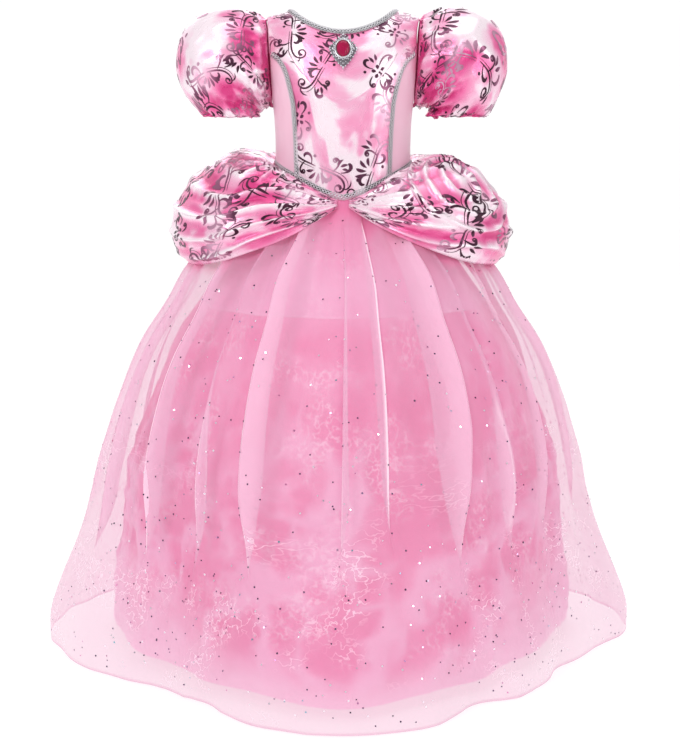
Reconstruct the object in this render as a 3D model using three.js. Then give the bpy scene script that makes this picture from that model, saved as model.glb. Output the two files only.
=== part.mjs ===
// A child's floor-length princess gown in satin, foil-printed satin and sheer organza, as worn.
// Millimetres: +Z is up, -Y is the front, and the origin is the middle of the shoulder line.
import * as THREE from "three";

// Cloth, seams and trim
const satinWall = 1.6;
const organzaWall = 1.2;
const foilWall = 1.4;
const seamGap = 0.3;
const trimLift = 0.4;
const braidWide = 7;
const braidThick = 2;

// Levels of the gown
const shoulderHeight = 6;
const chestHeight = -127;
const yokeSeamHeight = -402;
const underHemHeight = -872;
const overHemHeight = -887;

// Bodice form: rings of a rounded figure, by their length up the form from the chest line
const formPower = 2.3;
const topRise = shoulderHeight - chestHeight;
const topLength = (topRise * Math.PI) / 2;
const shoulderSlope = { from: 66, fall: 0.28 };
const bodiceRings = [
  { rise: -140, halfWidth: 97, front: 80, back: 74 },
  { rise: -81, halfWidth: 95, front: 77, back: 71 },
  { rise: -40, halfWidth: 95, front: 79, back: 73 },
  { rise: 0, halfWidth: 98, front: 83, back: 77 },
  { rise: 15, halfWidth: 101, front: 83, back: 77 },
  { rise: 40, halfWidth: 106, front: 83, back: 77 },
  { rise: 76, halfWidth: 111, front: 83, back: 77 },
  { rise: 120, halfWidth: 116, front: 83, back: 77 },
  { rise: 170, halfWidth: 118, front: 83, back: 77 },
  { rise: topLength, halfWidth: 118, front: 83, back: 77 },
];
const neck = { halfWidth: 70, front: 52.5, back: 49 };
const waistSeam = [
  { angle: 0, height: -255 },
  { angle: 15, height: -245 },
  { angle: 37, height: -229 },
  { angle: 62, height: -216 },
  { angle: 90, height: -208 },
  { angle: 135, height: -206 },
  { angle: 180, height: -206 },
];
const princessSeam = [
  { rise: -130, angle: 37.5 },
  { rise: -63, angle: 40 },
  { rise: -21, angle: 40.8 },
  { rise: 17, angle: 41.5 },
  { rise: 50, angle: 45 },
  { rise: 66, angle: 52 },
  { rise: 78, angle: 63.9 },
];
const princessTop = 78;
const armhole = [
  { rise: 0, angle: 90 },
  { rise: 15, angle: 76 },
  { rise: 40, angle: 68.6 },
  { rise: 78, angle: 63.9 },
  { rise: 120, angle: 60.5 },
  { rise: 170, angle: 61.5 },
  { rise: topLength, angle: 62 },
];

// Puff sleeve: a ball swept by planes that turn about a line under the arm
const puff = { x: 158, z: -69, radius: 76, lowerRadius: 78, hingeX: 108, hingeZ: -137 };
const puffGathers = { count: 11, seamDepth: 4, cuffDepth: 3.5 };
const cuff = { radius: 31, tuck: 9, droop: 5 };
const sleeveRings = [
  { step: 0, turn: 88, toBall: 0 },
  { step: 1, turn: 86, toBall: 0.55 },
  { step: 2, turn: 81, toBall: 0.9 },
  { step: 3, turn: 73, toBall: 1 },
  { step: 4, turn: 62, toBall: 1 },
  { step: 5, turn: 50, toBall: 1 },
  { step: 6, turn: 38, toBall: 1 },
  { step: 7, turn: 26, toBall: 1 },
  { step: 8, turn: 14, toBall: 1 },
  { step: 9, turn: 4, toBall: 1 },
  { step: 10, turn: -1, toBall: 1 },
];

// Skirts: radius at each level, the plan of each hem, and the folds
const gatherDrop = 120;
const overProfile = [
  { level: -206, radius: 96 },
  { level: -250, radius: 130 },
  { level: -300, radius: 168 },
  { level: -357, radius: 217 },
  { level: -404, radius: 244 },
  { level: -459, radius: 280 },
  { level: -521, radius: 307 },
  { level: -614, radius: 337 },
  { level: -682, radius: 353 },
  { level: -779, radius: 392 },
  { level: -846, radius: 418 },
  { level: overHemHeight, radius: 420 },
];
const underProfile = [
  { level: -206, radius: 92 },
  { level: -257, radius: 113 },
  { level: -300, radius: 136 },
  { level: -357, radius: 170 },
  { level: yokeSeamHeight, radius: 203 },
  { level: -441, radius: 232 },
  { level: -534, radius: 271 },
  { level: -613, radius: 302 },
  { level: -728, radius: 318 },
  { level: -846, radius: 334 },
  { level: underHemHeight, radius: 336 },
];
const overHemPlan = [
  { angle: -180, radius: 398 },
  { angle: -150, radius: 368 },
  { angle: -120, radius: 392 },
  { angle: -90, radius: 430 },
  { angle: -62, radius: 396 },
  { angle: -45, radius: 356 },
  { angle: -28, radius: 366 },
  { angle: -14, radius: 410 },
  { angle: 0, radius: 420 },
  { angle: 14, radius: 412 },
  { angle: 27, radius: 366 },
  { angle: 41, radius: 370 },
  { angle: 58, radius: 350 },
  { angle: 72, radius: 372 },
  { angle: 90, radius: 422 },
  { angle: 120, radius: 390 },
  { angle: 150, radius: 372 },
  { angle: 180, radius: 398 },
];
const underHemPlan = [
  { angle: -180, radius: 345 },
  { angle: -150, radius: 325 },
  { angle: -90, radius: 338 },
  { angle: -50, radius: 318 },
  { angle: -28, radius: 328 },
  { angle: 0, radius: 368 },
  { angle: 28, radius: 326 },
  { angle: 60, radius: 306 },
  { angle: 90, radius: 330 },
  { angle: 150, radius: 325 },
  { angle: 180, radius: 345 },
];
const planStart = -470;
const overFolds = { count: 22, depth: 9, wander: 3.1, start: 26 };
const underFolds = { count: 12, depth: 5, wander: 2.3, start: 40 };

// Hip swags: a puff from the waist seam to the skirt, pinched at the front point and the centre back
const swagSections = [
  { angle: 3, bottom: -264, bulge: 3 },
  { angle: 12, bottom: -277, bulge: 11 },
  { angle: 24, bottom: -296, bulge: 26 },
  { angle: 38, bottom: -318, bulge: 45 },
  { angle: 52, bottom: -336, bulge: 62 },
  { angle: 70, bottom: -345, bulge: 76 },
  { angle: 92, bottom: -346, bulge: 79 },
  { angle: 120, bottom: -338, bulge: 70 },
  { angle: 148, bottom: -312, bulge: 45 },
  { angle: 168, bottom: -268, bulge: 16 },
  { angle: 177, bottom: -226, bulge: 4 },
];
const swagPower = 2.4;
const swagFolds = { count: 4.5, depth: 5, lean: 0.9 };
const swagSeat = { top: 1.6, topLift: 1.1, bottomLift: 5 };
const swagFullness = [
  { angle: 3, left: 1, right: 1 },
  { angle: 50, left: 0.86, right: 1.1 },
  { angle: 90, left: 0.95, right: 0.8 },
  { angle: 177, left: 1, right: 0.9 },
];

// Brooch: an oval stone in a scalloped setting
const brooch = { height: -51, halfWide: 17, halfTall: 19, drop: 13, scallops: 12, plate: 1.6 };
const bezel = { halfWide: 11, halfTall: 13.4, wall: 1.2, foot: 0.8, rise: 2.4 };
const stone = { halfWide: 9.3, halfTall: 11.7, rise: 5.4, sides: 16 };

const toRadians = Math.PI / 180;
const pointsPerFold = 4;

// Reads one column of a table at a place between its rows, on a curve through the rows.
function along(table, key, column, at) {
  const last = table.length - 1;
  if (at <= table[0][key]) return table[0][column];
  if (at >= table[last][key]) return table[last][column];
  let i = 0;
  while (table[i + 1][key] < at) i += 1;
  const slope = (k) => {
    const before = table[Math.max(k - 1, 0)];
    const after = table[Math.min(k + 1, last)];
    return (after[column] - before[column]) / (after[key] - before[key]);
  };
  const span = table[i + 1][key] - table[i][key];
  const t = (at - table[i][key]) / span;
  const rise = table[i + 1][column] - table[i][column];
  const startSlope = slope(i) * span;
  const endSlope = slope(i + 1) * span;
  const bend = startSlope + endSlope - 2 * rise;
  const pull = 3 * rise - 2 * startSlope - endSlope;
  return table[i][column] + t * (startSlope + t * (pull + t * bend));
}

const power = (value, exponent) => Math.sign(value) * Math.abs(value) ** exponent;
const clamp01 = (value) => Math.min(Math.max(value, 0), 1);
const soft = (value) => clamp01(value) ** 2 * (3 - 2 * clamp01(value));
const mix = (a, b, t) => a + (b - a) * t;
const steps = (count) => Array.from({ length: count + 1 }, (_, i) => i / count);

// Point of the bodice form: angle from the centre front towards +X, and length up the form.
function formPoint(angle, rise) {
  const turn = angle * toRadians;
  const lean = Math.max(rise, 0) / topRise;
  const halfWidth = along(bodiceRings, "rise", "halfWidth", rise);
  const side = Math.cos(turn) > 0 ? "front" : "back";
  const depth = along(bodiceRings, "rise", side, rise) * Math.cos(lean);
  const x = halfWidth * power(Math.sin(turn), 2 / formPower);
  const y = -depth * power(Math.cos(turn), 2 / formPower);
  const level = chestHeight + (rise > 0 ? topRise * Math.sin(lean) : rise);
  const slope = shoulderSlope.fall * Math.max(Math.abs(x) - shoulderSlope.from, 0);
  const fade = clamp01(rise / topLength) ** 2;
  return new THREE.Vector3(x, y, level - slope * fade);
}

const waistHeight = (angle) => along(waistSeam, "angle", "height", Math.abs(angle));
const waistRise = (angle) => waistHeight(angle) - chestHeight;
const waistPoint = (angle) => formPoint(angle, waistRise(angle));

// Angle and rise of a neckline point whose plan is an ellipse; sweep runs from 0 at the centre to 1.
function neckAt(sweep, back) {
  const turn = (sweep * Math.PI) / 2;
  const halfWidth = bodiceRings[bodiceRings.length - 1].halfWidth;
  const formDepth = back ? bodiceRings[4].back : bodiceRings[4].front;
  const x = neck.halfWidth * Math.sin(turn);
  const y = (back ? neck.back : neck.front) * Math.cos(turn);
  const across = Math.asin((x / halfWidth) ** (formPower / 2));
  const reach = formDepth * Math.cos(across) ** (2 / formPower);
  const rise = topRise * Math.acos(clamp01(y / reach));
  const angle = across / toRadians;
  return [back ? 180 - angle : angle, Math.min(rise, topLength - seamGap / 2)];
}

// Fills a four-sided patch between its boundary lists of [angle, rise] pairs.
function patchGrid(bottom, top, start, end) {
  const lastRow = start.length - 1;
  const lastColumn = bottom.length - 1;
  return start.map((_, r) =>
    bottom.map((__, c) => {
      const v = r / lastRow;
      const u = c / lastColumn;
      return [0, 1].map((k) => {
        const ruled = mix(bottom[c][k], top[c][k], v) + mix(start[r][k], end[r][k], u);
        const footLine = mix(bottom[0][k], bottom[lastColumn][k], u);
        const topLine = mix(top[0][k], top[lastColumn][k], u);
        return ruled - mix(footLine, topLine, v);
      });
    }),
  );
}

// Outward direction of a surface, from small steps to each side of a point.
function outward(surface, a, b, facing) {
  const step = 0.02;
  const across = surface(a + step, b).sub(surface(a - step, b));
  const up = surface(a, b + step).sub(surface(a, b - step));
  return across.cross(up).multiplyScalar(facing).normalize();
}

// Closed cloth wall: the grid's points on the surface, and the same points moved in by the wall.
function wallGeometry(surface, grid, { wall, ring = false, facing = 1, lift = 0 }) {
  const rows = grid.length;
  const columns = grid[0].length;
  const points = [];
  for (const depth of [lift, lift - wall]) {
    for (const row of grid) {
      for (const [a, b] of row) {
        const point = surface(a, b).addScaledVector(outward(surface, a, b, facing), depth);
        points.push(point.x, point.y, point.z);
      }
    }
  }
  const outer = (r, c) => r * columns + (c % columns);
  const inner = (r, c) => rows * columns + outer(r, c);
  const faces = [];
  const quad = (p, q, r, s) => {
    if (facing > 0) faces.push(p, q, r, p, r, s);
    else faces.push(p, r, q, p, s, r);
  };
  const spans = ring ? columns : columns - 1;
  for (let c = 0; c < spans; c += 1) {
    for (let r = 0; r < rows - 1; r += 1) {
      quad(outer(r, c), outer(r, c + 1), outer(r + 1, c + 1), outer(r + 1, c));
      quad(inner(r, c + 1), inner(r, c), inner(r + 1, c), inner(r + 1, c + 1));
    }
    quad(inner(0, c), inner(0, c + 1), outer(0, c + 1), outer(0, c));
    quad(outer(rows - 1, c), outer(rows - 1, c + 1), inner(rows - 1, c + 1), inner(rows - 1, c));
  }
  if (!ring) {
    for (let r = 0; r < rows - 1; r += 1) {
      quad(inner(r, 0), outer(r, 0), outer(r + 1, 0), inner(r + 1, 0));
      quad(outer(r, spans), inner(r, spans), inner(r + 1, spans), outer(r + 1, spans));
    }
  }
  return indexed(points, faces);
}

function indexed(points, faces) {
  const geometry = new THREE.BufferGeometry();
  geometry.setAttribute("position", new THREE.Float32BufferAttribute(points, 3));
  geometry.setIndex(faces);
  return geometry;
}

// The same piece for the other side of the gown.
function mirrored(geometry) {
  const points = Array.from(geometry.attributes.position.array);
  const faces = Array.from(geometry.index.array);
  for (let i = 0; i < points.length; i += 3) points[i] = -points[i];
  for (let i = 0; i < faces.length; i += 3) {
    [faces[i + 1], faces[i + 2]] = [faces[i + 2], faces[i + 1]];
  }
  return indexed(points, faces);
}

const gown = new THREE.Group();

function add(name, geometry, look) {
  const mesh = new THREE.Mesh(geometry, new THREE.MeshStandardMaterial(look));
  mesh.name = name;
  gown.add(mesh);
}

const foilLook = { color: 0xf08fb6, roughness: 0.32, metalness: 0.15 };
const satinLook = { color: 0xf6c4d6, roughness: 0.38, metalness: 0 };
const deepSatinLook = { color: 0xee7fae, roughness: 0.4, metalness: 0 };
const organzaLook = { color: 0xfbd6e4, roughness: 0.5, metalness: 0 };
const braidLook = { color: 0xb9b9c1, roughness: 0.35, metalness: 0.8 };
const stoneLook = { color: 0xb3123f, roughness: 0.08, metalness: 0 };

// Bodice panels, cut along the princess seams, the side seams and the centre back
const seamTurn = 0.1;
const seamRise = seamGap / 2;
const seamRows = 7;
const armRows = 6;
const sideColumns = 6;
const shoulderColumns = 2;
const neckColumns = 5;
const princessFoot = waistRise(38);
const princessRises = steps(seamRows).map((v) => mix(princessFoot, princessTop, v));
const princessAngle = (rise) => along(princessSeam, "rise", "angle", rise);
const armholeAngle = (rise) => along(armhole, "rise", "angle", rise);
const shoulderAngle = armhole[armhole.length - 1].angle;
const shoulderLine = topLength - seamRise;

function topEdge(back) {
  const neckEnd = neckAt(1, back);
  const armEnd = back ? 180 - shoulderAngle : shoulderAngle;
  const shoulder = steps(shoulderColumns).map((t) => [mix(armEnd, neckEnd[0], t), shoulderLine]);
  const neckline = steps(neckColumns).map((t) => neckAt(1 - t, back));
  return shoulder.concat(neckline.slice(1));
}

function frontPanel() {
  const half = topEdge(false);
  const top = half.map(([angle, rise]) => [-angle, rise]).concat(half.slice(0, -1).reverse());
  const foot = princessAngle(princessFoot) - seamTurn;
  const bottom = top.map((_, c) => {
    const angle = mix(-foot, foot, c / (top.length - 1));
    return [angle, waistRise(angle) + seamRise];
  });
  const low = princessRises.map((rise) => [princessAngle(rise) - seamTurn, rise]);
  const highRises = steps(armRows).map((t) => mix(princessTop, shoulderLine, t)).slice(1);
  const end = low.concat(highRises.map((rise) => [armholeAngle(rise), rise]));
  end[0] = bottom[bottom.length - 1];
  const start = end.map(([angle, rise]) => [-angle, rise]);
  return wallGeometry(formPoint, patchGrid(bottom, top, start, end), { wall: satinWall });
}

function sidePanel() {
  const start = princessRises.map((rise) => [princessAngle(rise) + seamTurn, rise]);
  const foot = start[0][0];
  const bottom = steps(sideColumns).map((t) => {
    const angle = mix(foot, 90 - seamTurn, t);
    return [angle, waistRise(angle) + seamRise];
  });
  start[0] = bottom[0];
  const end = steps(seamRows).map((t) => [90 - seamTurn, mix(waistRise(90) + seamRise, 0, t)]);
  const top = steps(sideColumns).map((t) => {
    const rise = mix(princessTop, 0, t ** 0.7);
    return [armholeAngle(rise) - (t === 1 ? seamTurn : 0), rise];
  });
  top[0] = start[seamRows];
  return wallGeometry(formPoint, patchGrid(bottom, top, start, end), { wall: satinWall });
}

function backPanel() {
  const top = topEdge(true);
  const columns = top.length - 1;
  const bottom = steps(columns).map((t) => {
    const angle = mix(90 + seamTurn, 180 - seamTurn, t);
    return [angle, waistRise(angle) + seamRise];
  });
  top[columns] = [180 - seamTurn, top[columns][1]];
  const low = steps(seamRows).map((t) => [90 + seamTurn, mix(waistRise(90) + seamRise, 0, t)]);
  const rises = [8, 24, 48, 78, 106, 134, 160, 185, shoulderLine];
  const start = low.concat(rises.map((rise) => [180 - armholeAngle(rise), rise]));
  const lastRow = start.length - 1;
  const centre = (r) => mix(bottom[columns][1], top[columns][1], r / lastRow);
  const end = start.map((_, r) => [180 - seamTurn, centre(r)]);
  return wallGeometry(formPoint, patchGrid(bottom, top, start, end), { wall: satinWall });
}

add("bodice_front", frontPanel(), foilLook);
add("bodice_side_right", sidePanel(), satinLook);
add("bodice_side_left", mirrored(sidePanel()), satinLook);
add("bodice_back_right", backPanel(), satinLook);
add("bodice_back_left", mirrored(backPanel()), satinLook);

// Braid section: its flat base and its narrower top, as [share of the half width, height] pairs
const braidTop = trimLift + braidThick;
const braidSection = [
  [-1, trimLift],
  [1, trimLift],
  [0.75, braidTop],
  [-0.75, braidTop],
];

// Braid: a flat cord laid on the form, along a list of [angle, rise] pairs
function braidGeometry(path, wide, closed) {
  const points = [];
  const count = path.length;
  const place = path.map(([angle, rise]) => formPoint(angle, rise));
  place.forEach((point, i) => {
    const before = place[closed ? (i + count - 1) % count : Math.max(i - 1, 0)];
    const after = place[closed ? (i + 1) % count : Math.min(i + 1, count - 1)];
    const run = after.clone().sub(before).normalize();
    const up = outward(formPoint, path[i][0], path[i][1], 1);
    const across = up.clone().cross(run).normalize();
    for (const [sideways, height] of braidSection) {
      const corner = point.clone().addScaledVector(up, height);
      corner.addScaledVector(across, (sideways * wide) / 2);
      points.push(corner.x, corner.y, corner.z);
    }
  });
  const faces = [];
  const spans = closed ? count : count - 1;
  for (let i = 0; i < spans; i += 1) {
    const here = 4 * i;
    const next = 4 * ((i + 1) % count);
    for (let k = 0; k < 4; k += 1) {
      const m = (k + 1) % 4;
      faces.push(here + k, next + m, next + k, here + k, here + m, next + m);
    }
  }
  if (!closed) {
    const end = 4 * (count - 1);
    faces.push(0, 2, 1, 0, 3, 2, end, end + 1, end + 2, end, end + 2, end + 3);
  }
  return indexed(points, faces);
}

// The neck braid runs just below the neckline, from one side of the centre back round to the other.
function neckBraid() {
  const below = braidWide / 2 + 0.5;
  const half = steps(9).map((t) => neckAt(t * 0.985, false));
  const backHalf = steps(9).map((t) => neckAt(1 - mix(0.015, 0.985, t), true));
  const right = half.concat(backHalf);
  const left = right.slice(1).map(([angle, rise]) => [-angle, rise]).reverse();
  const path = left.concat(right).map(([angle, rise]) => {
    const away = outwardFromNeck(angle, rise);
    return [angle + away[0] * below, rise + away[1] * below];
  });
  return braidGeometry(path, braidWide, false);
}

// Direction in [angle, rise] that leads away from the neck, for one millimetre.
function outwardFromNeck(angle, rise) {
  const point = formPoint(angle, rise);
  const out = new THREE.Vector3(point.x / neck.halfWidth ** 2, point.y / neck.front ** 2, 0).normalize();
  const step = 0.05;
  const byAngle = formPoint(angle + step, rise).sub(point).divideScalar(step);
  const byRise = formPoint(angle, rise - step).sub(point).divideScalar(-step);
  const up = outward(formPoint, angle, rise, 1);
  out.addScaledVector(up, -out.dot(up)).normalize();
  const det = byAngle.lengthSq() * byRise.lengthSq() - byAngle.dot(byRise) ** 2;
  const a = (out.dot(byAngle) * byRise.lengthSq() - out.dot(byRise) * byAngle.dot(byRise)) / det;
  const b = (out.dot(byRise) * byAngle.lengthSq() - out.dot(byAngle) * byAngle.dot(byRise)) / det;
  return [a, b];
}

function princessBraid() {
  const foot = princessFoot + braidWide + 3;
  const path = steps(13).map((t) => {
    const rise = mix(foot, princessTop - 2, t);
    return [princessAngle(rise) - 1.2 * soft((rise - 55) / 20), rise];
  });
  return braidGeometry(path, braidWide - 1, false);
}

function waistBraid() {
  const path = steps(26).map((t) => {
    const angle = mix(-88, 88, t);
    return [angle, waistRise(angle) + braidWide / 2 + 0.9];
  });
  return braidGeometry(path, braidWide, false);
}

add("braid_neck", neckBraid(), braidLook);
add("braid_princess_right", princessBraid(), braidLook);
add("braid_princess_left", mirrored(princessBraid()), braidLook);
add("braid_waist", waistBraid(), braidLook);

// The sleeve's first ring lies just inside the armhole's edge, by a turn and by a share of its height.
const armholeSeam = { turn: 0.68, ease: 0.993 };

// Armhole point for a turn about the sleeve: 0 at the shoulder, 180 under the arm, 90 in front.
function armholePoint(turn) {
  const rise = topRise * Math.asin(0.5 + 0.5 * Math.cos(turn * toRadians));
  const angle = armholeAngle(rise) + armholeSeam.turn;
  const height = 100 + (rise - 100) * armholeSeam.ease;
  return formPoint(Math.sin(turn * toRadians) >= 0 ? angle : 180 - angle, height);
}

// Point of the right puff sleeve: turn about the arm, and a step along sleeveRings.
function sleevePoint(turn, step) {
  const at = Math.min(step, sleeveRings.length - 1);
  const swing = along(sleeveRings, "step", "turn", at) * toRadians;
  const toBall = clamp01(along(sleeveRings, "step", "toBall", at));
  const about = turn * toRadians;
  const gapX = puff.x - puff.hingeX;
  const gapZ = puff.z - puff.hingeZ;
  const reach = gapX * Math.cos(swing) + gapZ * Math.sin(swing);
  const off = gapX * Math.sin(swing) - gapZ * Math.cos(swing);
  const radius = mix(puff.lowerRadius, puff.radius, soft(swing / (60 * toRadians)));
  const ring = Math.sqrt(Math.max(radius ** 2 - off ** 2, cuff.radius ** 2));
  const toSeam = Math.exp(-(((step - 1.2) / 1.1) ** 2));
  const toCuff = Math.exp(-(((step - 9.6) / 1.3) ** 2));
  const ripple = Math.cos(puffGathers.count * about + 0.5 * Math.sin(3 * about));
  const gather = ripple * (puffGathers.seamDepth * toSeam + puffGathers.cuffDepth * toCuff);
  const tuck = clamp01(step - (sleeveRings.length - 1));
  const around = mix(ring + gather, cuff.radius, tuck);
  const droop = cuff.droop * toCuff * (1 - tuck);
  const out = reach + around * Math.cos(about);
  const ball = new THREE.Vector3(
    puff.hingeX + out * Math.cos(swing),
    -around * Math.sin(about),
    puff.hingeZ + out * Math.sin(swing) - droop + tuck * cuff.tuck,
  );
  return armholePoint(turn).lerp(ball, toBall);
}

function puffSleeve() {
  const columns = puffGathers.count * pointsPerFold;
  const rows = sleeveRings.length;
  const turns = Array.from({ length: columns }, (_, c) => (360 * c) / columns);
  const grid = Array.from({ length: rows + 1 }, (_, r) => turns.map((turn) => [turn, r]));
  return wallGeometry(sleevePoint, grid, { wall: foilWall, ring: true, facing: 1 });
}

add("sleeve_right", puffSleeve(), foilLook);
add("sleeve_left", mirrored(puffSleeve()), foilLook);

// Fold lines wander from even spacing, but the centre front stays where it is.
function foldAngle(even, folds) {
  const sway = Math.sin(2 * even * toRadians) + 0.7 * Math.sin(5 * even * toRadians);
  return even + folds.wander * sway;
}

const wrapAngle = (angle) => ((((angle + 180) % 360) + 360) % 360) - 180;

// Point of a skirt: even angle round from the centre front, and height from the hem up in hundredths.
function skirtPoint(even, up, skirt) {
  const angle = foldAngle(even, skirt.folds);
  const about = wrapAngle(angle);
  const turn = angle * toRadians;
  const top = skirt.top(about);
  const level = mix(skirt.foot, top, up / 100);
  const gathered = clamp01((waistHeight(about) - level) / gatherDrop);
  const round = 1 - (1 - gathered) ** 2;
  const hemRadius = skirt.profile[skirt.profile.length - 1].radius;
  const plan = along(skirt.plan, "angle", "radius", about) / hemRadius;
  const spread = soft((planStart - level) / (planStart - skirt.hem));
  const falling = [...skirt.profile].reverse();
  const base = along(falling, "level", "radius", level) * mix(1, plan, spread);
  const start = soft((waistHeight(about) - level) / skirt.folds.start);
  const full = mix(0.35, 1, soft((waistHeight(about) - level) / 330));
  const fold = skirt.folds.depth * start * full * Math.cos(skirt.folds.count * even * toRadians);
  const waist = waistPoint(about);
  const inset = 1 - skirt.inset / Math.hypot(waist.x, waist.y);
  return new THREE.Vector3(
    mix(waist.x * inset, (base + fold) * Math.sin(turn), round),
    mix(waist.y * inset, -(base + fold) * Math.cos(turn), round),
    level,
  );
}

const overskirt = {
  foot: overHemHeight,
  hem: overHemHeight,
  top: (angle) => waistHeight(angle) - seamGap - 0.2,
  profile: overProfile,
  plan: overHemPlan,
  folds: overFolds,
  inset: 0,
};
const underskirt = {
  foot: underHemHeight,
  hem: underHemHeight,
  top: () => yokeSeamHeight - seamGap / 2,
  profile: underProfile,
  plan: underHemPlan,
  folds: underFolds,
  inset: 2,
};
const yoke = {
  ...underskirt,
  foot: yokeSeamHeight + seamGap / 2,
  top: (angle) => waistHeight(angle) - seamGap - 0.2,
};

function skirtGeometry(skirt, columns, heights, wall) {
  const angles = Array.from({ length: columns }, (_, c) => (360 * c) / columns);
  const grid = heights.map((up) => angles.map((even) => [even, up]));
  return wallGeometry((even, up) => skirtPoint(even, up, skirt), grid, { wall, ring: true });
}

const overHeights = [0, 7, 20, 36, 52, 68, 82, 92, 100];
const underHeights = [0, 15, 42, 70, 88, 100];
const yokeHeights = [0, 35, 70, 100];
const overColumns = overFolds.count * pointsPerFold;
const underColumns = underFolds.count * pointsPerFold;
add("overskirt", skirtGeometry(overskirt, overColumns, overHeights, organzaWall), organzaLook);
add("underskirt_lower", skirtGeometry(underskirt, underColumns, underHeights, satinWall), deepSatinLook);
add("underskirt_yoke", skirtGeometry(yoke, underColumns, yokeHeights, satinWall), satinLook);

// Point just outside the overskirt at an angle and a level, clear of its folds.
function overSkin(angle, level, lift) {
  const waist = waistPoint(angle);
  const gathered = clamp01((waistHeight(angle) - level) / gatherDrop);
  const round = 1 - (1 - gathered) ** 2;
  const falling = [...overProfile].reverse();
  const fold = overFolds.depth * 0.5 * soft((waistHeight(angle) - level) / overFolds.start);
  const radius = along(falling, "level", "radius", level) + fold;
  const turn = angle * toRadians;
  const x = mix(waist.x, radius * Math.sin(turn), round);
  const y = mix(waist.y, -radius * Math.cos(turn), round);
  const reach = Math.hypot(x, y);
  return new THREE.Vector3((x * (reach + lift)) / reach, (y * (reach + lift)) / reach, level);
}

// Point of a swag on the right: angle round the hips, and 0 to 180 over the puff from seam to skirt.
function swagPoint(angle, over, hand) {
  const bottomLevel = along(swagSections, "angle", "bottom", angle);
  const fullness = along(swagFullness, "angle", hand, angle);
  const bulge = fullness * along(swagSections, "angle", "bulge", angle);
  const start = overSkin(angle, waistHeight(angle) - swagSeat.top, swagSeat.topLift);
  const end = overSkin(angle, bottomLevel, swagSeat.bottomLift);
  const chord = end.clone().sub(start);
  const across = new THREE.Vector3(end.x, end.y, 0).normalize();
  const out = chord.dot(across);
  const tilt = Math.hypot(out, chord.z);
  const normal = across.clone().multiplyScalar(-chord.z / tilt).add(new THREE.Vector3(0, 0, out / tilt));
  const turn = over * toRadians;
  const share = 0.5 - 0.5 * power(Math.cos(turn), 2 / swagPower);
  const calm = Math.sin(turn) ** 0.5;
  const ripple = Math.cos(swagFolds.count * 2 * turn + swagFolds.lean * Math.sin(2 * angle * toRadians));
  const fold = swagFolds.depth * ripple * calm * clamp01(bulge / 60);
  const height = bulge * power(Math.sin(turn), 2 / swagPower) + fold;
  return start.addScaledVector(chord, share).addScaledVector(normal, height);
}

function swag(hand) {
  const first = swagSections[0].angle;
  const last = swagSections[swagSections.length - 1].angle;
  const angles = steps(21).map((t) => mix(first, last, t));
  const overs = steps(18).map((t) => mix(1, 179, t));
  const grid = overs.map((over) => angles.map((angle) => [angle, over]));
  const surface = (angle, over) => swagPoint(angle, over, hand);
  return wallGeometry(surface, grid, { wall: foilWall, facing: -1 });
}

add("swag_right", swag("right"), foilLook);
add("swag_left", mirrored(swag("left")), foilLook);

// Rings of a brooch piece, each with its half sizes, scallops and height above the cloth.
function ringLoft(rings, sides) {
  const points = [];
  for (const { wide, tall, drop = 0, wave = 0, height } of rings) {
    for (let i = 0; i < sides; i += 1) {
      const turn = (2 * Math.PI * i) / sides;
      const edge = 1 + wave * Math.cos(brooch.scallops * turn);
      const point = drop * Math.max(-Math.sin(turn), 0) ** 6;
      points.push(edge * wide * Math.cos(turn), edge * tall * Math.sin(turn) - point, height);
    }
  }
  const faces = [];
  for (let k = 0; k < rings.length - 1; k += 1) {
    for (let i = 0; i < sides; i += 1) {
      const here = k * sides + i;
      const next = k * sides + ((i + 1) % sides);
      faces.push(here, next, next + sides, here, next + sides, here + sides);
    }
  }
  const first = points.length / 3;
  points.push(0, 0, rings[0].height, 0, 0, rings[rings.length - 1].height);
  const lastRing = (rings.length - 1) * sides;
  for (let i = 0; i < sides; i += 1) {
    const j = (i + 1) % sides;
    faces.push(first, j, i, first + 1, lastRing + i, lastRing + j);
  }
  return indexed(points, faces);
}

// Stands a brooch piece on the front panel: its x stays across, its y runs up the cloth.
function onFront(geometry, lift) {
  const rise = topRise * Math.asin((brooch.height - chestHeight) / topRise);
  const seat = formPoint(0, rise);
  const up = outward(formPoint, 0, rise, 1);
  const climb = up.clone().cross(new THREE.Vector3(1, 0, 0));
  const frame = new THREE.Matrix4().makeBasis(new THREE.Vector3(1, 0, 0), climb, up);
  frame.setPosition(seat.addScaledVector(up, lift));
  return geometry.applyMatrix4(frame);
}

const settingSides = 48;
const plateEdge = { wide: brooch.halfWide, tall: brooch.halfTall, drop: brooch.drop, wave: 0.06 };
const bezelOuter = { wide: bezel.halfWide, tall: bezel.halfTall };
const bezelInner = { wide: bezel.halfWide - bezel.wall, tall: bezel.halfTall - bezel.wall };
const bezelTop = brooch.plate + bezel.rise;
const setting = ringLoft(
  [
    { ...plateEdge, height: 0 },
    { ...plateEdge, height: brooch.plate },
    { ...bezelOuter, height: brooch.plate + bezel.foot },
    { ...bezelOuter, height: bezelTop },
    { ...bezelInner, height: bezelTop },
    { ...bezelInner, height: brooch.plate },
  ],
  settingSides,
);
add("brooch_setting", onFront(setting, trimLift), braidLook);

const gem = ringLoft(
  [
    { wide: stone.halfWide - 1.2, tall: stone.halfTall - 1.2, height: 0 },
    { wide: stone.halfWide, tall: stone.halfTall, height: 1.4 },
    { wide: stone.halfWide * 0.82, tall: stone.halfTall * 0.82, height: 3.9 },
    { wide: stone.halfWide * 0.5, tall: stone.halfTall * 0.5, height: stone.rise },
  ],
  stone.sides,
);
add("brooch_stone", onFront(gem, trimLift + brooch.plate + seamGap), stoneLook);

export default gown;
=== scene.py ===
import math

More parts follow.
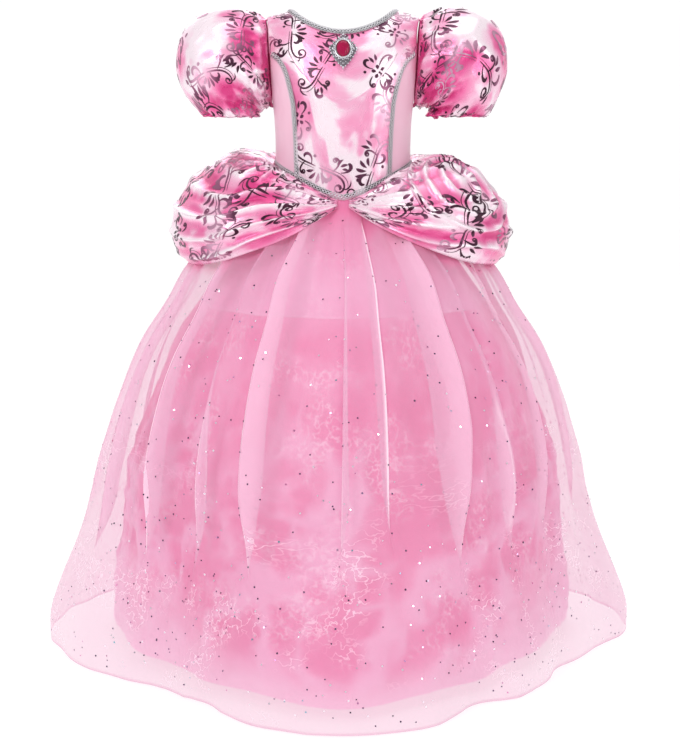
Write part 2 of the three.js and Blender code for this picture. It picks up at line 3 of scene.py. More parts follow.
import bpy
import numpy as np
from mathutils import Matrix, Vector


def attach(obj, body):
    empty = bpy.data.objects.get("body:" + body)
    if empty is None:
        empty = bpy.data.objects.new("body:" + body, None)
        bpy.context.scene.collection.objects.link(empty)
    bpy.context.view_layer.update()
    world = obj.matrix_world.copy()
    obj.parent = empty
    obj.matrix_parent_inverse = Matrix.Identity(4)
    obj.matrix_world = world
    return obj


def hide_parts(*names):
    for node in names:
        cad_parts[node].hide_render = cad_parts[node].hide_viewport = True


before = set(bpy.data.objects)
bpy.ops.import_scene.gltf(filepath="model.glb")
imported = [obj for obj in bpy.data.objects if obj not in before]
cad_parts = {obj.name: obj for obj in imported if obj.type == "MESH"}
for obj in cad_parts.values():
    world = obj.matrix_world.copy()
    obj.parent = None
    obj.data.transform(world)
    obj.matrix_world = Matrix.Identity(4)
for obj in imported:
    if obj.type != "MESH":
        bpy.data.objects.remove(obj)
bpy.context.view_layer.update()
print("frame loaded", len(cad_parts), "nodes")

# Everything is worked out in millimetres, +Z up and the gown facing -Y, and becomes metres in a mesh.
metres = 0.001
degrees = math.pi / 180


# helpers for shapes
def along(table, at):
    # a column of a table between its rows: a cubic through the rows, with slopes from the rows each side
    xs, ys = (np.array(side, float) for side in zip(*table))
    at = np.clip(at, xs[0], xs[-1])
    i = np.clip(np.searchsorted(xs, at, side="right") - 1, 0, len(xs) - 2)
    before = np.maximum(np.arange(len(xs)) - 1, 0)
    after = np.minimum(np.arange(len(xs)) + 1, len(xs) - 1)
    slopes = (ys[after] - ys[before]) / (xs[after] - xs[before])
    span = xs[i + 1] - xs[i]
    t = (at - xs[i]) / span
    rise = ys[i + 1] - ys[i]
    a = slopes[i] * span
    b = slopes[i + 1] * span
    return ys[i] + t * (a + t * ((3 * rise - 2 * a - b) + t * (a + b - 2 * rise)))


def power(value, exponent):
    # keeps the sign: sign(v) * |v| ^ e
    return np.sign(value) * np.abs(value) ** exponent


def soft(value):
    # 0 below 0, 1 above 1, and 3t^2 - 2t^3 between
    t = np.clip(value, 0, 1)
    return t * t * (3 - 2 * t)


def mix(a, b, t):
    # a + (b - a) * t
    return a + (b - a) * t


def bell(value, wide):
    # exp(-(v / w)^2)
    return np.exp(-((value / wide) ** 2))


def signed(angle):
    # the same angle, from -180 to 180
    return (angle + 180) % 360 - 180


def vectors(x, y, z):
    # stacks three arrays as points
    return np.stack(np.broadcast_arrays(x, y, z), -1)


def unit(v):
    # v / |v|
    return v / np.maximum(np.linalg.norm(v, axis=-1, keepdims=True), 1e-9)


def dot(a, b):
    # the scalar product of two arrays of vectors
    return np.sum(a * b, -1)


def noise(u, v, seed, wrap=64):
    # random heights on a unit grid, joined by 6t^5 - 15t^4 + 10t^3; wrap is the cells round a ring
    table = np.random.default_rng(seed).uniform(-1, 1, (64, wrap))
    column = np.floor(u).astype(int)
    row = np.floor(v).astype(int)
    a = u - column
    b = v - row
    a = a * a * a * (a * (6 * a - 15) + 10)
    b = b * b * b * (b * (6 * b - 15) + 10)
    low = mix(table[row % 64, column % wrap], table[row % 64, (column + 1) % wrap], a)
    high = mix(table[(row + 1) % 64, column % wrap], table[(row + 1) % 64, (column + 1) % wrap], a)
    return mix(low, high, b)


def creases(u, v, seed, wrap=64):
    # 1 along thin lines and lower between them: 1 - 2|n|, over two sizes, with the lines bent by noise
    bend = 0.35 * noise(u + 7.3, v + 2.1, seed + 50, wrap)
    large = 1 - 2.2 * np.abs(noise(u + bend, v + bend, seed, wrap))
    small = 1 - 2.2 * np.abs(noise(2 * u + 3.1 + bend, 2 * v, seed + 1, 2 * wrap))
    return 0.68 * large + 0.32 * small


def normalsOf(surface, a, b, step=0.05):
    # unit cross product of small steps along the two parameters
    across = surface(a + step, b) - surface(a - step, b)
    up = surface(a, b + step) - surface(a, b - step)
    return unit(np.cross(across, up))


def raised(surface, height, facing=1):
    # the surface moved out along its normals by height(a, b)
    def moved(a, b):
        lift = facing * np.asarray(height(a, b))[..., None]
        return surface(a, b) + normalsOf(surface, a, b) * lift

    return moved


def gridQuads(rows, columns, ring=False, flip=False, closed=False):
    # the quads between neighbours; ring joins the last column to the first, and closed the last row
    rowCount = rows if closed else rows - 1
    columnCount = columns if ring else columns - 1
    r, c = np.meshgrid(np.arange(rowCount), np.arange(columnCount), indexing="ij")
    low, high = r * columns, (r + 1) % rows * columns
    beside = (c + 1) % columns
    quads = np.stack([low + c, low + beside, high + beside, high + c], -1).reshape(-1, 4)
    return quads[:, ::-1] if flip else quads


def joined(parts):
    # one array of points and one of faces, from several pairs of them
    starts = np.cumsum([0] + [len(points) for points, _ in parts])
    faces = [quads + start for (_, quads), start in zip(parts, starts)]
    return np.concatenate([points for points, _ in parts]), np.concatenate(faces)


def newPiece(name, points, quads, uv=None, values=None, smooth=True, girth=0):
    # a mesh object from whole arrays: points in mm, quads, a uv pair and named values for each point;
    # girth is a ring's flat length, added to the u of corners that have gone past its end
    points = np.asarray(points, float).reshape(-1, 3)
    quads = np.asarray(quads, np.int32)
    mesh = bpy.data.meshes.new(name)
    mesh.vertices.add(len(points))
    mesh.vertices.foreach_set("co", (points * metres).astype(np.float32).ravel())
    mesh.loops.add(quads.size)
    mesh.loops.foreach_set("vertex_index", quads.ravel())
    mesh.polygons.add(len(quads))
    starts = np.arange(len(quads), dtype=np.int32) * quads.shape[1]
    mesh.polygons.foreach_set("loop_start", starts)
    mesh.polygons.foreach_set("use_smooth", np.full(len(quads), smooth))
    if uv is not None:
        layer = mesh.uv_layers.new(name="cloth")
        flat = np.asarray(uv, np.float32).reshape(-1, 2)[quads]
        if girth:
            first = flat[..., 0] < flat[..., 0].max(axis=1, keepdims=True) - girth / 2
            flat[..., 0] += first * girth
        layer.data.foreach_set("uv", flat.ravel())
    for key, value in (values or {}).items():
        attribute = mesh.attributes.new(key, "FLOAT", "POINT")
        attribute.data.foreach_set("value", np.asarray(value, np.float32).ravel())
    mesh.update()
    mesh.validate()
    piece = bpy.data.objects.new(name, mesh)
    bpy.context.scene.collection.objects.link(piece)
    return piece


def dress(piece, material, nodes=()):
    # gives a finished piece its material, its body and the CAD nodes that it stands for
    piece.data.materials.append(material)
    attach(piece, "root")
    if nodes:
        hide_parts(*nodes)
    return piece


def thicken(piece, thickness):
    # gives a sheet its wall, inwards
    wall = piece.modifiers.new("wall", "SOLIDIFY")
    wall.thickness = thickness * metres
    wall.offset = -1


# helpers for materials
class Wire:
    # wraps a socket, so that sums on it read as ordinary maths
    def __init__(self, finish, socket):
        self.finish = finish
        self.socket = socket

    def math(self, operation, a, b):
        # one Math node
        return self.finish.node("ShaderNodeMath", {"operation": operation}, {0: a, 1: b})

    def __add__(self, other):
        return self.math("ADD", self, other)

    def __radd__(self, other):
        return self.math("ADD", other, self)

    def __sub__(self, other):
        return self.math("SUBTRACT", self, other)

    def __rsub__(self, other):
        return self.math("SUBTRACT", other, self)

    def __mul__(self, other):
        return self.math("MULTIPLY", self, other)

    def __rmul__(self, other):
        return self.math("MULTIPLY", other, self)


class Finish:
    # a material with one Principled shader; a _ in a socket's name stands for a space
    def __init__(self, name, **constants):
        self.material = bpy.data.materials.new(name)
        self.material.use_nodes = True
        self.tree = self.material.node_tree
        self.shader = next(n for n in self.tree.nodes if n.type == "BSDF_PRINCIPLED")
        for key, value in constants.items():
            self.shader.inputs[key.replace("_", " ")].default_value = value

    def join(self, value, target):
        # links a wire to a socket, or sets the socket's value
        if isinstance(value, Wire):
            self.tree.links.new(value.socket, target)
        else:
            target.default_value = value

    def node(self, kind, settings=None, inputs=None, output=0):
        # makes a node, sets its settings first and then its sockets' values or links
        made = self.tree.nodes.new(kind)
        for key, value in (settings or {}).items():
            if key == "stops":
                ramp = made.color_ramp.elements
                while len(ramp) < len(value):
                    ramp.new(0.5)
                for element, (place, colour) in zip(ramp, value):
                    element.position = place
                    element.color = (*colour, 1)
            else:
                setattr(made, key, value)
        for key, value in (inputs or {}).items():
            self.join(value, made.inputs[key])
        return Wire(self, made.outputs[output])

    def value(self, name):
        # a number stored on the mesh
        return self.node("ShaderNodeAttribute", {"attribute_name": name}, output="Fac")

    def cloth(self, scale):
        # the cloth's own flat coordinates in millimetres, times scale
        uv = self.node("ShaderNodeUVMap", {"uv_map": "cloth"})
        return self.node("ShaderNodeVectorMath", {"operation": "SCALE"}, {0: uv, "Scale": scale})

    def grain(self, vector, scale, detail=2.0):
        # noise from 0 to 1
        settings = {"noise_dimensions": "3D"}
        return self.node("ShaderNodeTexNoise", settings, {"Vector": vector, "Scale": scale, "Detail": detail})

    def ramp(self, factor, stops):
        # colours at places from 0 to 1
        return self.node("ShaderNodeValToRGB", {"stops": stops}, {0: factor})

    def weft(self):
        # the relief of satin: fine cross threads and a slight unevenness
        flat = self.cloth(1.0)
        threads = self.node("ShaderNodeTexWave", {"bands_direction": "Y"}, {"Vector": flat, "Scale": 0.8})
        return threads * 0.4 + self.grain(flat, 0.3)

    def colours(self, factor, first, second):
        # one colour mixed into another by a factor
        made = self.tree.nodes.new("ShaderNodeMix")
        made.data_type = "RGBA"
        self.join(factor, made.inputs[0])
        for value, index in ((first, 6), (second, 7)):
            self.join(value if isinstance(value, Wire) else (*value, 1), made.inputs[index])
        return Wire(self, made.outputs[2])

    def steps(self, factor, low, high):
        # a soft step from 0 to 1 between two values
        inputs = {0: factor, 1: low, 2: high, 3: 0.0, 4: 1.0}
        return self.node("ShaderNodeMapRange", {"interpolation_type": "SMOOTHSTEP"}, inputs)

    def wrinkles(self, scale, clusterScale, low, high):
        # 1 along the thin winding lines where a noise crosses its middle value, in loose clusters, which
        # are where a wider noise passes from low to high
        bent = self.grain(self.cloth(1.0), scale, 2.0)
        off = self.node("ShaderNodeMath", {"operation": "ABSOLUTE"}, {0: bent - 0.5})
        cluster = self.grain(self.cloth(1.0), clusterScale, 1.0)
        return self.steps(off, 0.045, 0.0) * self.steps(cluster, low, high)

    def feed(self, **inputs):
        # joins values or wires to the shader's sockets
        for key, value in inputs.items():
            self.join(value, self.shader.inputs[key.replace("_", " ")])

    def bump(self, height, strength, distance):
        # small relief from a height; distance is in metres
        inputs = {"Height": height, "Strength": strength, "Distance": distance}
        self.feed(Normal=self.node("ShaderNodeBump", None, inputs))


def objectPlace(finish):
    # the Object coordinates, in metres
    return finish.node("ShaderNodeTexCoord", output="Object")


# the rounded figure that carries the bodice. A place on it is an angle from the centre front and a rise, the
# way up the cloth from the chest ring; the tables give half width, depth and waist level against these, and
# how far round the princess seam and the armhole are
bodice = {
    "formPower": 2.3,
    "chest": -127.0,
    "topRise": 133.0,
    "slopeFrom": 66.0,
    "slope": 0.28,
    "halfWidth": [
        (-140, 97), (-81, 95), (-40, 95), (0, 98), (15, 101),
        (40, 106), (76, 111), (120, 116), (170, 118), (208.9, 118),
    ],
    "front": [(-140, 80), (-81, 77), (-40, 79), (0, 83), (208.9, 83)],
    "back": [(-140, 74), (-81, 71), (-40, 73), (0, 77), (208.9, 77)],
    "waist": [(0, -255), (15, -245), (37, -229), (62, -216), (90, -208), (135, -206), (180, -206)],
    "princess": [(-130, 37.5), (-63, 40), (-21, 40.8), (17, 41.5), (50, 45), (66, 52), (78, 63.9)],
    "princessTop": 78.0,
    "princessFootAngle": 38.0,
    "armhole": [(0, 90), (15, 76), (40, 68.6), (78, 63.9), (120, 60.5), (170, 61.5), (208.9, 62)],
    "neckWide": 70.0,
    "neckFront": 52.5,
    "neckBack": 49.0,
    "seamGap": 0.15,
    "seamAngle": 0.1,
    "wall": 0.8,
    "depth": 0.31,
    "dent": 0.15,
}
topLength = bodice["topRise"] * math.pi / 2
shoulderLine = topLength - bodice["seamGap"]


def formPoint(angle, rise):
    # superellipse rings: x = w sin^(2/p), y = -d cos^(2/p), the top part leaning in over the shoulders
    turn = angle * degrees
    lean = np.maximum(rise, 0) / bodice["topRise"]
    halfWidth = along(bodice["halfWidth"], rise)
    depth = np.where(np.cos(turn) > 0, along(bodice["front"], rise), along(bodice["back"], rise))
    share = 2 / bodice["formPower"]
    x = halfWidth * power(np.sin(turn), share)
    y = -depth * np.cos(lean) * power(np.cos(turn), share)
    level = bodice["chest"] + np.where(rise > 0, bodice["topRise"] * np.sin(lean), rise)
    slope = bodice["slope"] * np.maximum(np.abs(x) - bodice["slopeFrom"], 0)
    return vectors(x, y, level - slope * np.clip(rise / topLength, 0, 1) ** 2)


def waistHeight(angle):
    # the waist seam's level, the same on both sides
    return along(bodice["waist"], np.abs(angle))


def waistRise(angle):
    # the waist seam's distance up the cloth from the chest ring
    return waistHeight(angle) - bodice["chest"]


def waistPoint(angle):
    # the waist seam's place
    return formPoint(angle, waistRise(angle))


def princessAngle(rise):
    # how far round the princess seam is
    return along(bodice["princess"], rise)


def armholeAngle(rise):
    # how far round the armhole's edge is
    return along(bodice["armhole"], rise)


def neckAt(sweep, back=False):
    # angle and rise of a neckline point: its plan is an ellipse, with sweep 0 at the centre and 1 at the
    # shoulder, and it is found on the form by x / w = sin^(2/p) and y / d = cos(lean) cos^(2/p)
    turn = np.asarray(sweep, float) * math.pi / 2
    x = bodice["neckWide"] * np.sin(turn)
    y = (bodice["neckBack"] if back else bodice["neckFront"]) * np.cos(turn)
    across = np.arcsin((x / bodice["halfWidth"][-1][1]) ** (bodice["formPower"] / 2))
    depth = bodice["back" if back else "front"][-1][1]
    reach = depth * np.cos(across) ** (2 / bodice["formPower"])
    rise = bodice["topRise"] * np.arccos(np.clip(y / reach, 0, 1))
    angle = across / degrees
    return (180 - angle if back else angle), np.minimum(rise, shoulderLine)


def patch(bottom, top, start, end):
    # Coons patch: ruled both ways, less the bilinear corners; each edge is a list of (angle, rise)
    bottom, top, start, end = (np.array(edge, float) for edge in (bottom, top, start, end))
    u = np.linspace(0, 1, len(bottom))[None, :, None]
    v = np.linspace(0, 1, len(start))[:, None, None]
    ruled = mix(bottom[None], top[None], v) + mix(start[:, None], end[:, None], u)
    foot = mix(bottom[0], bottom[-1], u)
    head = mix(top[0], top[-1], u)
    return ruled - mix(foot, head, v)


def pairs(angle, rise):
    # stacks angles and rises as points of an edge
    return np.stack(np.broadcast_arrays(angle, rise), -1)


# finishes
def makeFoil():
    # shiny satin: soft pink, with painted highlights near white in broad patches and where it lies high, and
    # painted shade in hot pink down in its folds
    finish = Finish("foilSatin", Metallic=0.3, IOR=1.36, Coat_Weight=0.18, Coat_Roughness=0.12)
    patchy = finish.grain(finish.cloth(0.015), 1.0, 1.5)
    cloudy = finish.grain(finish.cloth(0.06), 1.0, 2.0)
    # painted highlight: where patchy is low the foil is pushed towards near white in broad patches, and
    # glareStep gives them a crisp edge
    glareStep = finish.steps(patchy + cloudy * 0.12, 0.50, 0.59)
    level = finish.value("depth") + glareStep * 0.36 + patchy * 0.6 + cloudy * 0.2 - 0.62
    # the ramp runs from a painted highlight near white, through soft pink, to painted shade in hot pink
    stops = [
        (0.04, (0.96, 0.82, 0.89)), (0.30, (0.94, 0.55, 0.72)), (0.55, (0.89, 0.32, 0.53)),
        (0.78, (0.86, 0.17, 0.40)), (1.0, (0.68, 0.05, 0.23)),
    ]
    finish.feed(Base_Color=finish.ramp(level, stops), Roughness=0.18 + cloudy * 0.2)
    finish.bump(finish.weft(), 0.15, 0.0006)
    return finish.material


def makePrint():
    # the foil of the printed scrolls: plum metal, with mauve and paler tones in random patches, a painted
    # reflection of the foil
    finish = Finish("foilPrint", Metallic=0.55, Roughness=0.32, Specular_IOR_Level=0.5)
    stops = [
        (0.0, (0.045, 0.010, 0.027)), (0.45, (0.12, 0.032, 0.075)),
        (0.75, (0.34, 0.12, 0.22)), (1.0, (0.66, 0.38, 0.52)),
    ]
    finish.feed(Base_Color=finish.ramp(finish.value("tone"), stops))
    return finish.material


def makeSatin(name, high, low, rough, sheen, glow, glint=0.0):
    # plain satin: two close tones, the darker one painted shade where the depth value is high and random in
    # loose clouds, a fine weft, a soft sheen and thin bright wrinkles in loose clusters, relief with a
    # painted highlight on it;
    # the glow is painted light, an emission that lifts the shade in place of the little light that comes
    # through the cloth
    finish = Finish(name, IOR=1.5, Sheen_Weight=sheen, Sheen_Roughness=0.4, Emission_Strength=glow)
    cloudy = finish.grain(finish.cloth(0.013), 1.0, 3.0)
    tone = finish.steps(finish.value("depth") + cloudy * 0.9, 0.45, 1.4)
    colour = finish.colours(tone, high, low)
    relief = finish.weft()
    if glint:
        lines = finish.wrinkles(0.075, 0.014, 0.48, 0.62)
        # painted highlight: the wrinkle lines are coloured near white
        colour = finish.colours(lines * glint, colour, (0.99, 0.80, 0.90))
        # paler over the underskirt's hem, and a painted highlight along the yoke's seam where the hem value
        # is set there
        colour = finish.colours(finish.value("hem"), colour, (0.90, 0.58, 0.73))
        relief = relief + lines * 2.0
    finish.feed(Base_Color=colour, Emission_Color=colour, Roughness=rough + cloudy * 0.12)
    finish.bump(relief, 0.2, 0.0006)
    return finish.material


def makeOrganza():
    # sheer organza: crisp, paler where it lies folded over itself, whiter along the turned edges, where more
    # layers are seen edge-on and a highlight is painted; painted white crinkle highlights low down, and
    # painted shade in deep pink under the swags
    # painted light: a pink emission that lifts the organza's shade
    glow = {"Emission_Color": (0.90, 0.42, 0.60, 1), "Emission_Strength": 0.12}
    finish = Finish("organza", Roughness=0.4, IOR=1.4, Specular_IOR_Level=0.3, **glow)
    fold, hem, deep = (finish.value(name) for name in ("fold", "hem", "deep"))
    veil = finish.grain(finish.cloth(0.012), 1.0, 2.0)
    lines = finish.wrinkles(0.07, 0.011, 0.5, 0.66) * finish.value("crinkle")
    # painted highlight: whiter along the turned edges, where more layers are also seen edge-on, and along
    # thin crinkle lines low down
    white = finish.steps(finish.value("edge") + lines * 0.6, 0.0, 1.0)
    colour = finish.colours(fold, (0.74, 0.43, 0.58), (0.96, 0.68, 0.82))
    colour = finish.colours(white, colour, (0.98, 0.86, 0.93))
    colour = finish.colours(hem, colour, (0.70, 0.38, 0.53))
    # painted shade: deep pink under the swags
    colour = finish.colours(deep, colour, (0.86, 0.14, 0.36))
    alpha = 0.32 + veil * 0.16 + fold * 0.34 + white * 0.45 + hem * 0.25 + deep * 0.3
    finish.feed(Base_Color=colour, Alpha=alpha)
    finish.bump(finish.grain(finish.cloth(1.0), 0.8, 1.0), 0.1, 0.0004)
    return finish.material


def makeSequin():
    # small foil discs: silver, pink and sea green, and dark ones whose dark colour is painted reflection
    finish = Finish("sequin", Metallic=0.9, Roughness=0.2)
    # the dark stops, from 0.42 to 0.80, are painted reflection
    stops = [
        (0.0, (0.95, 0.93, 0.98)), (0.34, (0.92, 0.80, 0.92)), (0.42, (0.10, 0.06, 0.12)),
        (0.80, (0.20, 0.12, 0.22)), (0.88, (0.80, 0.30, 0.55)), (1.0, (0.25, 0.50, 0.60)),
    ]
    finish.feed(Base_Color=finish.ramp(finish.value("tone"), stops))
    return finish.material


def makeBraid():
    # silver thread over a dark strip, which is painted shade in the gaps between the threads
    finish = Finish("silverBraid", Metallic=0.45, Specular_IOR_Level=0.6)
    place = finish.grain(objectPlace(finish), 900.0, 2.0)
    thread = finish.colours(place, (0.46, 0.45, 0.48), (0.92, 0.91, 0.94))
    colour = finish.colours(finish.value("tone"), (0.05, 0.045, 0.055), thread)
    finish.feed(Base_Color=colour, Roughness=0.25 + place * 0.25)
    finish.bump(place, 0.5, 0.0005)
    return finish.material


def makeSilver():
    # cast silver, darkened in the hollows of its plate
    finish = Finish("castSilver", Metallic=0.9)
    wear = finish.grain(objectPlace(finish), 400.0, 3.0)
    bright = finish.colours(wear, (0.52, 0.52, 0.56), (0.92, 0.92, 0.95))
    colour = finish.colours(finish.value("tone"), (0.24, 0.22, 0.25), bright)
    finish.feed(Base_Color=colour, Roughness=0.16 + wear * 0.2)
    return finish.material


def makeGem():
    # crimson glass with a slight cloud in it
    finish = Finish("crimsonGlass", Roughness=0.15, IOR=1.45, Specular_IOR_Level=0.3, Coat_Weight=0.15)
    cloud = finish.grain(objectPlace(finish), 160.0, 1.0)
    finish.feed(Base_Color=finish.colours(cloud, (0.20, 0.0, 0.025), (0.46, 0.002, 0.075)))
    return finish.material


foilSatin = makeFoil()
foilPrint = makePrint()
paleSatin = makeSatin(
    "paleSatin", (0.90, 0.60, 0.72), (0.86, 0.47, 0.61), rough=0.36, sheen=0.2, glow=0.03,
)
pinkSatin = makeSatin(
    "pinkSatin", (0.87, 0.43, 0.63), (0.80, 0.14, 0.36), rough=0.26, sheen=0.1, glow=0.10, glint=0.55,
)
yokeSatin = makeSatin(
    "yokeSatin", (0.86, 0.46, 0.65), (0.80, 0.24, 0.46), rough=0.34, sheen=0.1, glow=0.12, glint=0.3,
)
organza = makeOrganza()
sequinFoil = makeSequin()
silverBraid = makeBraid()
castSilver = makeSilver()
crimsonGlass = makeGem()
print("materials ready")


# The printed scrolls: sprays strewn over the cloth. A row gives a stroke's start, heading, length,
# curl, tightening, half width and shape.
scroll = {
    "every": 76.0, "rowsCloser": 1.15, "jitter": 8.0, "scale": (0.9, 1.1), "lift": 0.35,
    "stemSamples": 34, "leafSamples": 9, "toneEvery": 42.0, "tone": 0.42, "toneRange": 0.85,
}
scrollStems = [
    (0, 0, 0.25, 84, -0.9, 8.8, 1.35, "scroll"),
    (0.6, -3.6, 0.25, 56, -0.6, 2.0, 0.5, "line"),
    (0, 0, 3.4, 74, -0.8, 9.0, 1.35, "scroll"),
    (-0.6, 3.6, 3.4, 48, -0.5, 1.8, 0.5, "line"),
    (22, 3, -0.9, 40, -0.5, -8.4, 1.25, "scroll"),
    (-18, -5, 2.2, 36, -0.4, -8.4, 1.25, "scroll"),
    (34, 1, -0.2, 24, -0.9, -2.2, 2.6, "comma"),
    (-33, -4, 2.9, 22, -0.8, -2.2, 2.5, "comma"),
    (8, 2, 1.5, 27, -1.4, -2.6, 2.2, "comma"),
    (-9, -2, -1.5, 25, -1.4, -2.4, 2.1, "comma"),
    (50, 7, 1.2, 24, 1.6, 1.6, 1.1, "leaf"),
]
scrollLeaves = [
    (5, 5, 0.8, 17, 0.5, 0.3, 2.5, "petal"),
    (3, 6, 1.3, 15, 0.4, 0.4, 2.4, "petal"),
    (0, 6, 1.9, 14, 0.4, 0.4, 2.3, "petal"),
    (-2, 4, 2.5, 12, 0.4, 0.4, 2.1, "petal"),
    (27, -7, -1.3, 12, 0.5, 0.2, 2.0, "leaf"),
    (31, -6, -0.8, 12, 0.5, 0.2, 2.0, "leaf"),
    (34, -4, -0.3, 10, 0.5, 0.2, 1.8, "leaf"),
    (-26, 7, 1.9, 13, -0.5, 0.2, 2.1, "leaf"),
    (-29, 5, 2.4, 12, -0.5, 0.2, 2.0, "leaf"),
    (-40, -13, 3.9, 11, 0.4, 0.2, 1.8, "leaf"),
    (-38, -16, 4.5, 10, 0.4, 0.2, 1.7, "leaf"),
    (14, 17, 0, 5.2, 0, 0, 2.4, "dot"),
    (-9, -14, 0, 4.6, 0, 0, 2.1, "dot"),
    (42, -12, 0, 3.8, 0, 0, 1.8, "dot"),
]
budStems = [
    (-4, -6, -2.0, 48, 0.9, 7.6, 1.25, "scroll"),
    (6, -3, -0.4, 36, 0.8, 7.8, 1.2, "scroll"),
    (-8, 2, 2.6, 25, 0.9, 3.0, 2.3, "comma"),
    (9, 7, 0.9, 24, -1.2, -2.6, 2.2, "comma"),
    (-2, 10, 1.5, 30, -0.9, -7.0, 1.2, "scroll"),
]
budLeaves = [
    (14, 0, 0.3, 11, 0.3, 0.2, 1.9, "leaf"),
    (14, -4, -0.3, 10, 0.3, 0.2, 1.8, "leaf"),
    (-12, -5, 3.5, 12, -0.4, 0.2, 2.0, "leaf"),
    (-12, -9, 4.0, 11, -0.4, 0.2, 1.9, "leaf"),
    (-17, 13, 0, 4.4, 0, 0, 2.0, "dot"),
    (19, -13, 0, 4.2, 0, 0, 1.9, "dot"),
    (0, 0, 0, 3.6, 0, 0, 1.7, "dot"),
]
for turn in np.arange(5) * 2 * math.pi / 5:
    budLeaves.append((2.4 * math.cos(turn), 2.4 * math.sin(turn), turn, 7.0, 0.1, 0.1, 2.5, "petal"))


def stroke(x, y, heading, length, curl, tighten, wide, shape, samples):
    # a centre line whose heading is h + curl*s + tighten*s^3, and its half width along it
    s = np.linspace(0, 1, samples)
    turn = heading + curl * s + tighten * s**3
    step = length / (samples - 1)
    line = np.stack([x + np.cumsum(np.cos(turn)) * step, y + np.cumsum(np.sin(turn)) * step], -1)
    profile = {
        "scroll": 0.25 + 0.75 * np.sin(math.pi * s**0.8) ** 0.7 + 1.2 * bell(s - 0.95, 0.06),
        "line": np.sin(math.pi * s) ** 0.4,
        "comma": 0.25 + 0.75 * np.sin(math.pi * s**2.2) ** 0.8,
        "leaf": np.sin(math.pi * s**0.8) ** 1.1,
        "petal": np.sin(math.pi * s**1.25) ** 0.7,
        "dot": np.sqrt(np.maximum(1 - (2 * s - 1) ** 2, 0)),
    }[shape]
    return line, wide * np.maximum(profile, 0.04)


def drawn(rows, samples):
    # the centre lines of a table's strokes, and their half widths
    made = [stroke(*row, samples) for row in rows]
    return np.array([line for line, _ in made]), np.array([width for _, width in made])


sprays = [
    [drawn(scrollStems, scroll["stemSamples"]), drawn(scrollLeaves, scroll["leafSamples"])],
    [drawn(budStems, scroll["stemSamples"]), drawn(budLeaves, scroll["leafSamples"])],
]


def ribbons(x, y, half, cloth, toCloth, inside, lift):
    # three points across each centre line, laid on the cloth and lifted off it; quads that reach outside
    # are dropped, and those that face the cloth are turned over
    dx = np.gradient(x, axis=-1)
    dy = np.gradient(y, axis=-1)
    long = np.maximum(np.hypot(dx, dy), 1e-6)
    lanes = [np.stack([x + k * half * dy / long, y - k * half * dx / long], -1) for k in (-1, 0, 1)]
    flat = np.stack(lanes, -2)
    a, b = toCloth(flat[..., 0], flat[..., 1])
    out = normalsOf(cloth, a, b) * lift
    points = (cloth(a, b) + out).reshape(-1, 3)
    samples = x.shape[-1]
    fine = inside(a, b).reshape(-1, samples, 3)
    s, i, k = np.meshgrid(np.arange(len(fine)), np.arange(samples - 1), np.arange(2), indexing="ij")
    corner = (s * samples + i) * 3 + k
    quads = np.stack([corner, corner + 1, corner + 4, corner + 3], -1)
    quads = quads[fine[:, :-1, :-1] & fine[:, 1:, :-1] & fine[:, :-1, 1:] & fine[:, 1:, 1:]]
    face = np.cross(points[quads[:, 1]] - points[quads[:, 0]], points[quads[:, 2]] - points[quads[:, 0]])
    wrong = np.einsum("ij,ij->i", face, out.reshape(-1, 3)[quads[:, 0]]) < 0
    quads[wrong] = quads[wrong][:, ::-1]
    used = np.unique(quads)
    number = np.zeros(len(points), np.int32)
    number[used] = np.arange(len(used))
    return points[used], number[quads], flat.reshape(-1, 2)[used]


def scrollPrint(name, cloth, toCloth, wide, tall, inside, seed, flip=False, bare=(0, 0, 0)):
    # sprays on a jittered grid of the flat cloth, turned and mirrored at random; every third is a bud, and
    # none starts in the bare circle
    random = np.random.default_rng(seed)
    every = scroll["every"]
    closer = scroll["rowsCloser"]
    columns, rows = math.ceil(wide / every) + 1, math.ceil(tall / every * closer) + 1
    c, r = np.meshgrid(np.arange(columns), np.arange(rows))
    u = (c + 0.5 * (r % 2)) * every - every / 2 + random.uniform(-1, 1, c.shape) * scroll["jitter"]
    v = r * every / closer - every / 4 + random.uniform(-1, 1, c.shape) * scroll["jitter"]
    turn = random.uniform(0, 2 * math.pi, c.shape)
    size = random.uniform(*scroll["scale"], c.shape)
    side = random.choice([-1, 1], c.shape)
    kind = (c + 2 * r) % 3 == 2
    clear = np.hypot(u - bare[0], v - bare[1]) > bare[2]
    lift = -scroll["lift"] if flip else scroll["lift"]
    parts, flats = [], []
    for bud, groups in enumerate(sprays):
        chosen = (kind == bud) & clear
        places = (part[chosen][:, None, None] for part in (u, v, turn, size, side))
        middleU, middleV, heading, scale, mirror = places
        for lines, widths in groups:
            x = lines[..., 0] * scale * mirror
            y = lines[..., 1] * scale
            across = x * np.cos(heading) - y * np.sin(heading) + middleU
            up = x * np.sin(heading) + y * np.cos(heading) + middleV
            points, quads, flat = ribbons(across, up, widths * scale, cloth, toCloth, inside, lift)
            parts.append((points, quads))
            flats.append(flat)
    # the print's tone in random patches: plum where it is low, paler towards mauve where it is high, a
    # painted reflection of the foil
    place = np.concatenate(flats) / scroll["toneEvery"] + 9
    patchy = noise(place[:, 0], place[:, 1], seed + 7)
    tone = np.clip(scroll["tone"] + scroll["toneRange"] * patchy, 0, 1)
    piece = newPiece(name, *joined(parts), values={"tone": tone})
    return dress(piece, foilPrint)


# bodice
def bodiceRelief(seed, swell, crease):
    # gentle pulls: wide swells, and creases that run slightly downwards, each of its height in mm
    def height(angle, rise):
        u = angle * 1.6 / 60
        v = rise / 60
        lines = creases(1.7 * u + 0.5 * v + 30, 1.9 * v + 30, seed + 5)
        return swell * noise(u + 20, v + 20, seed) + crease * lines

    return height


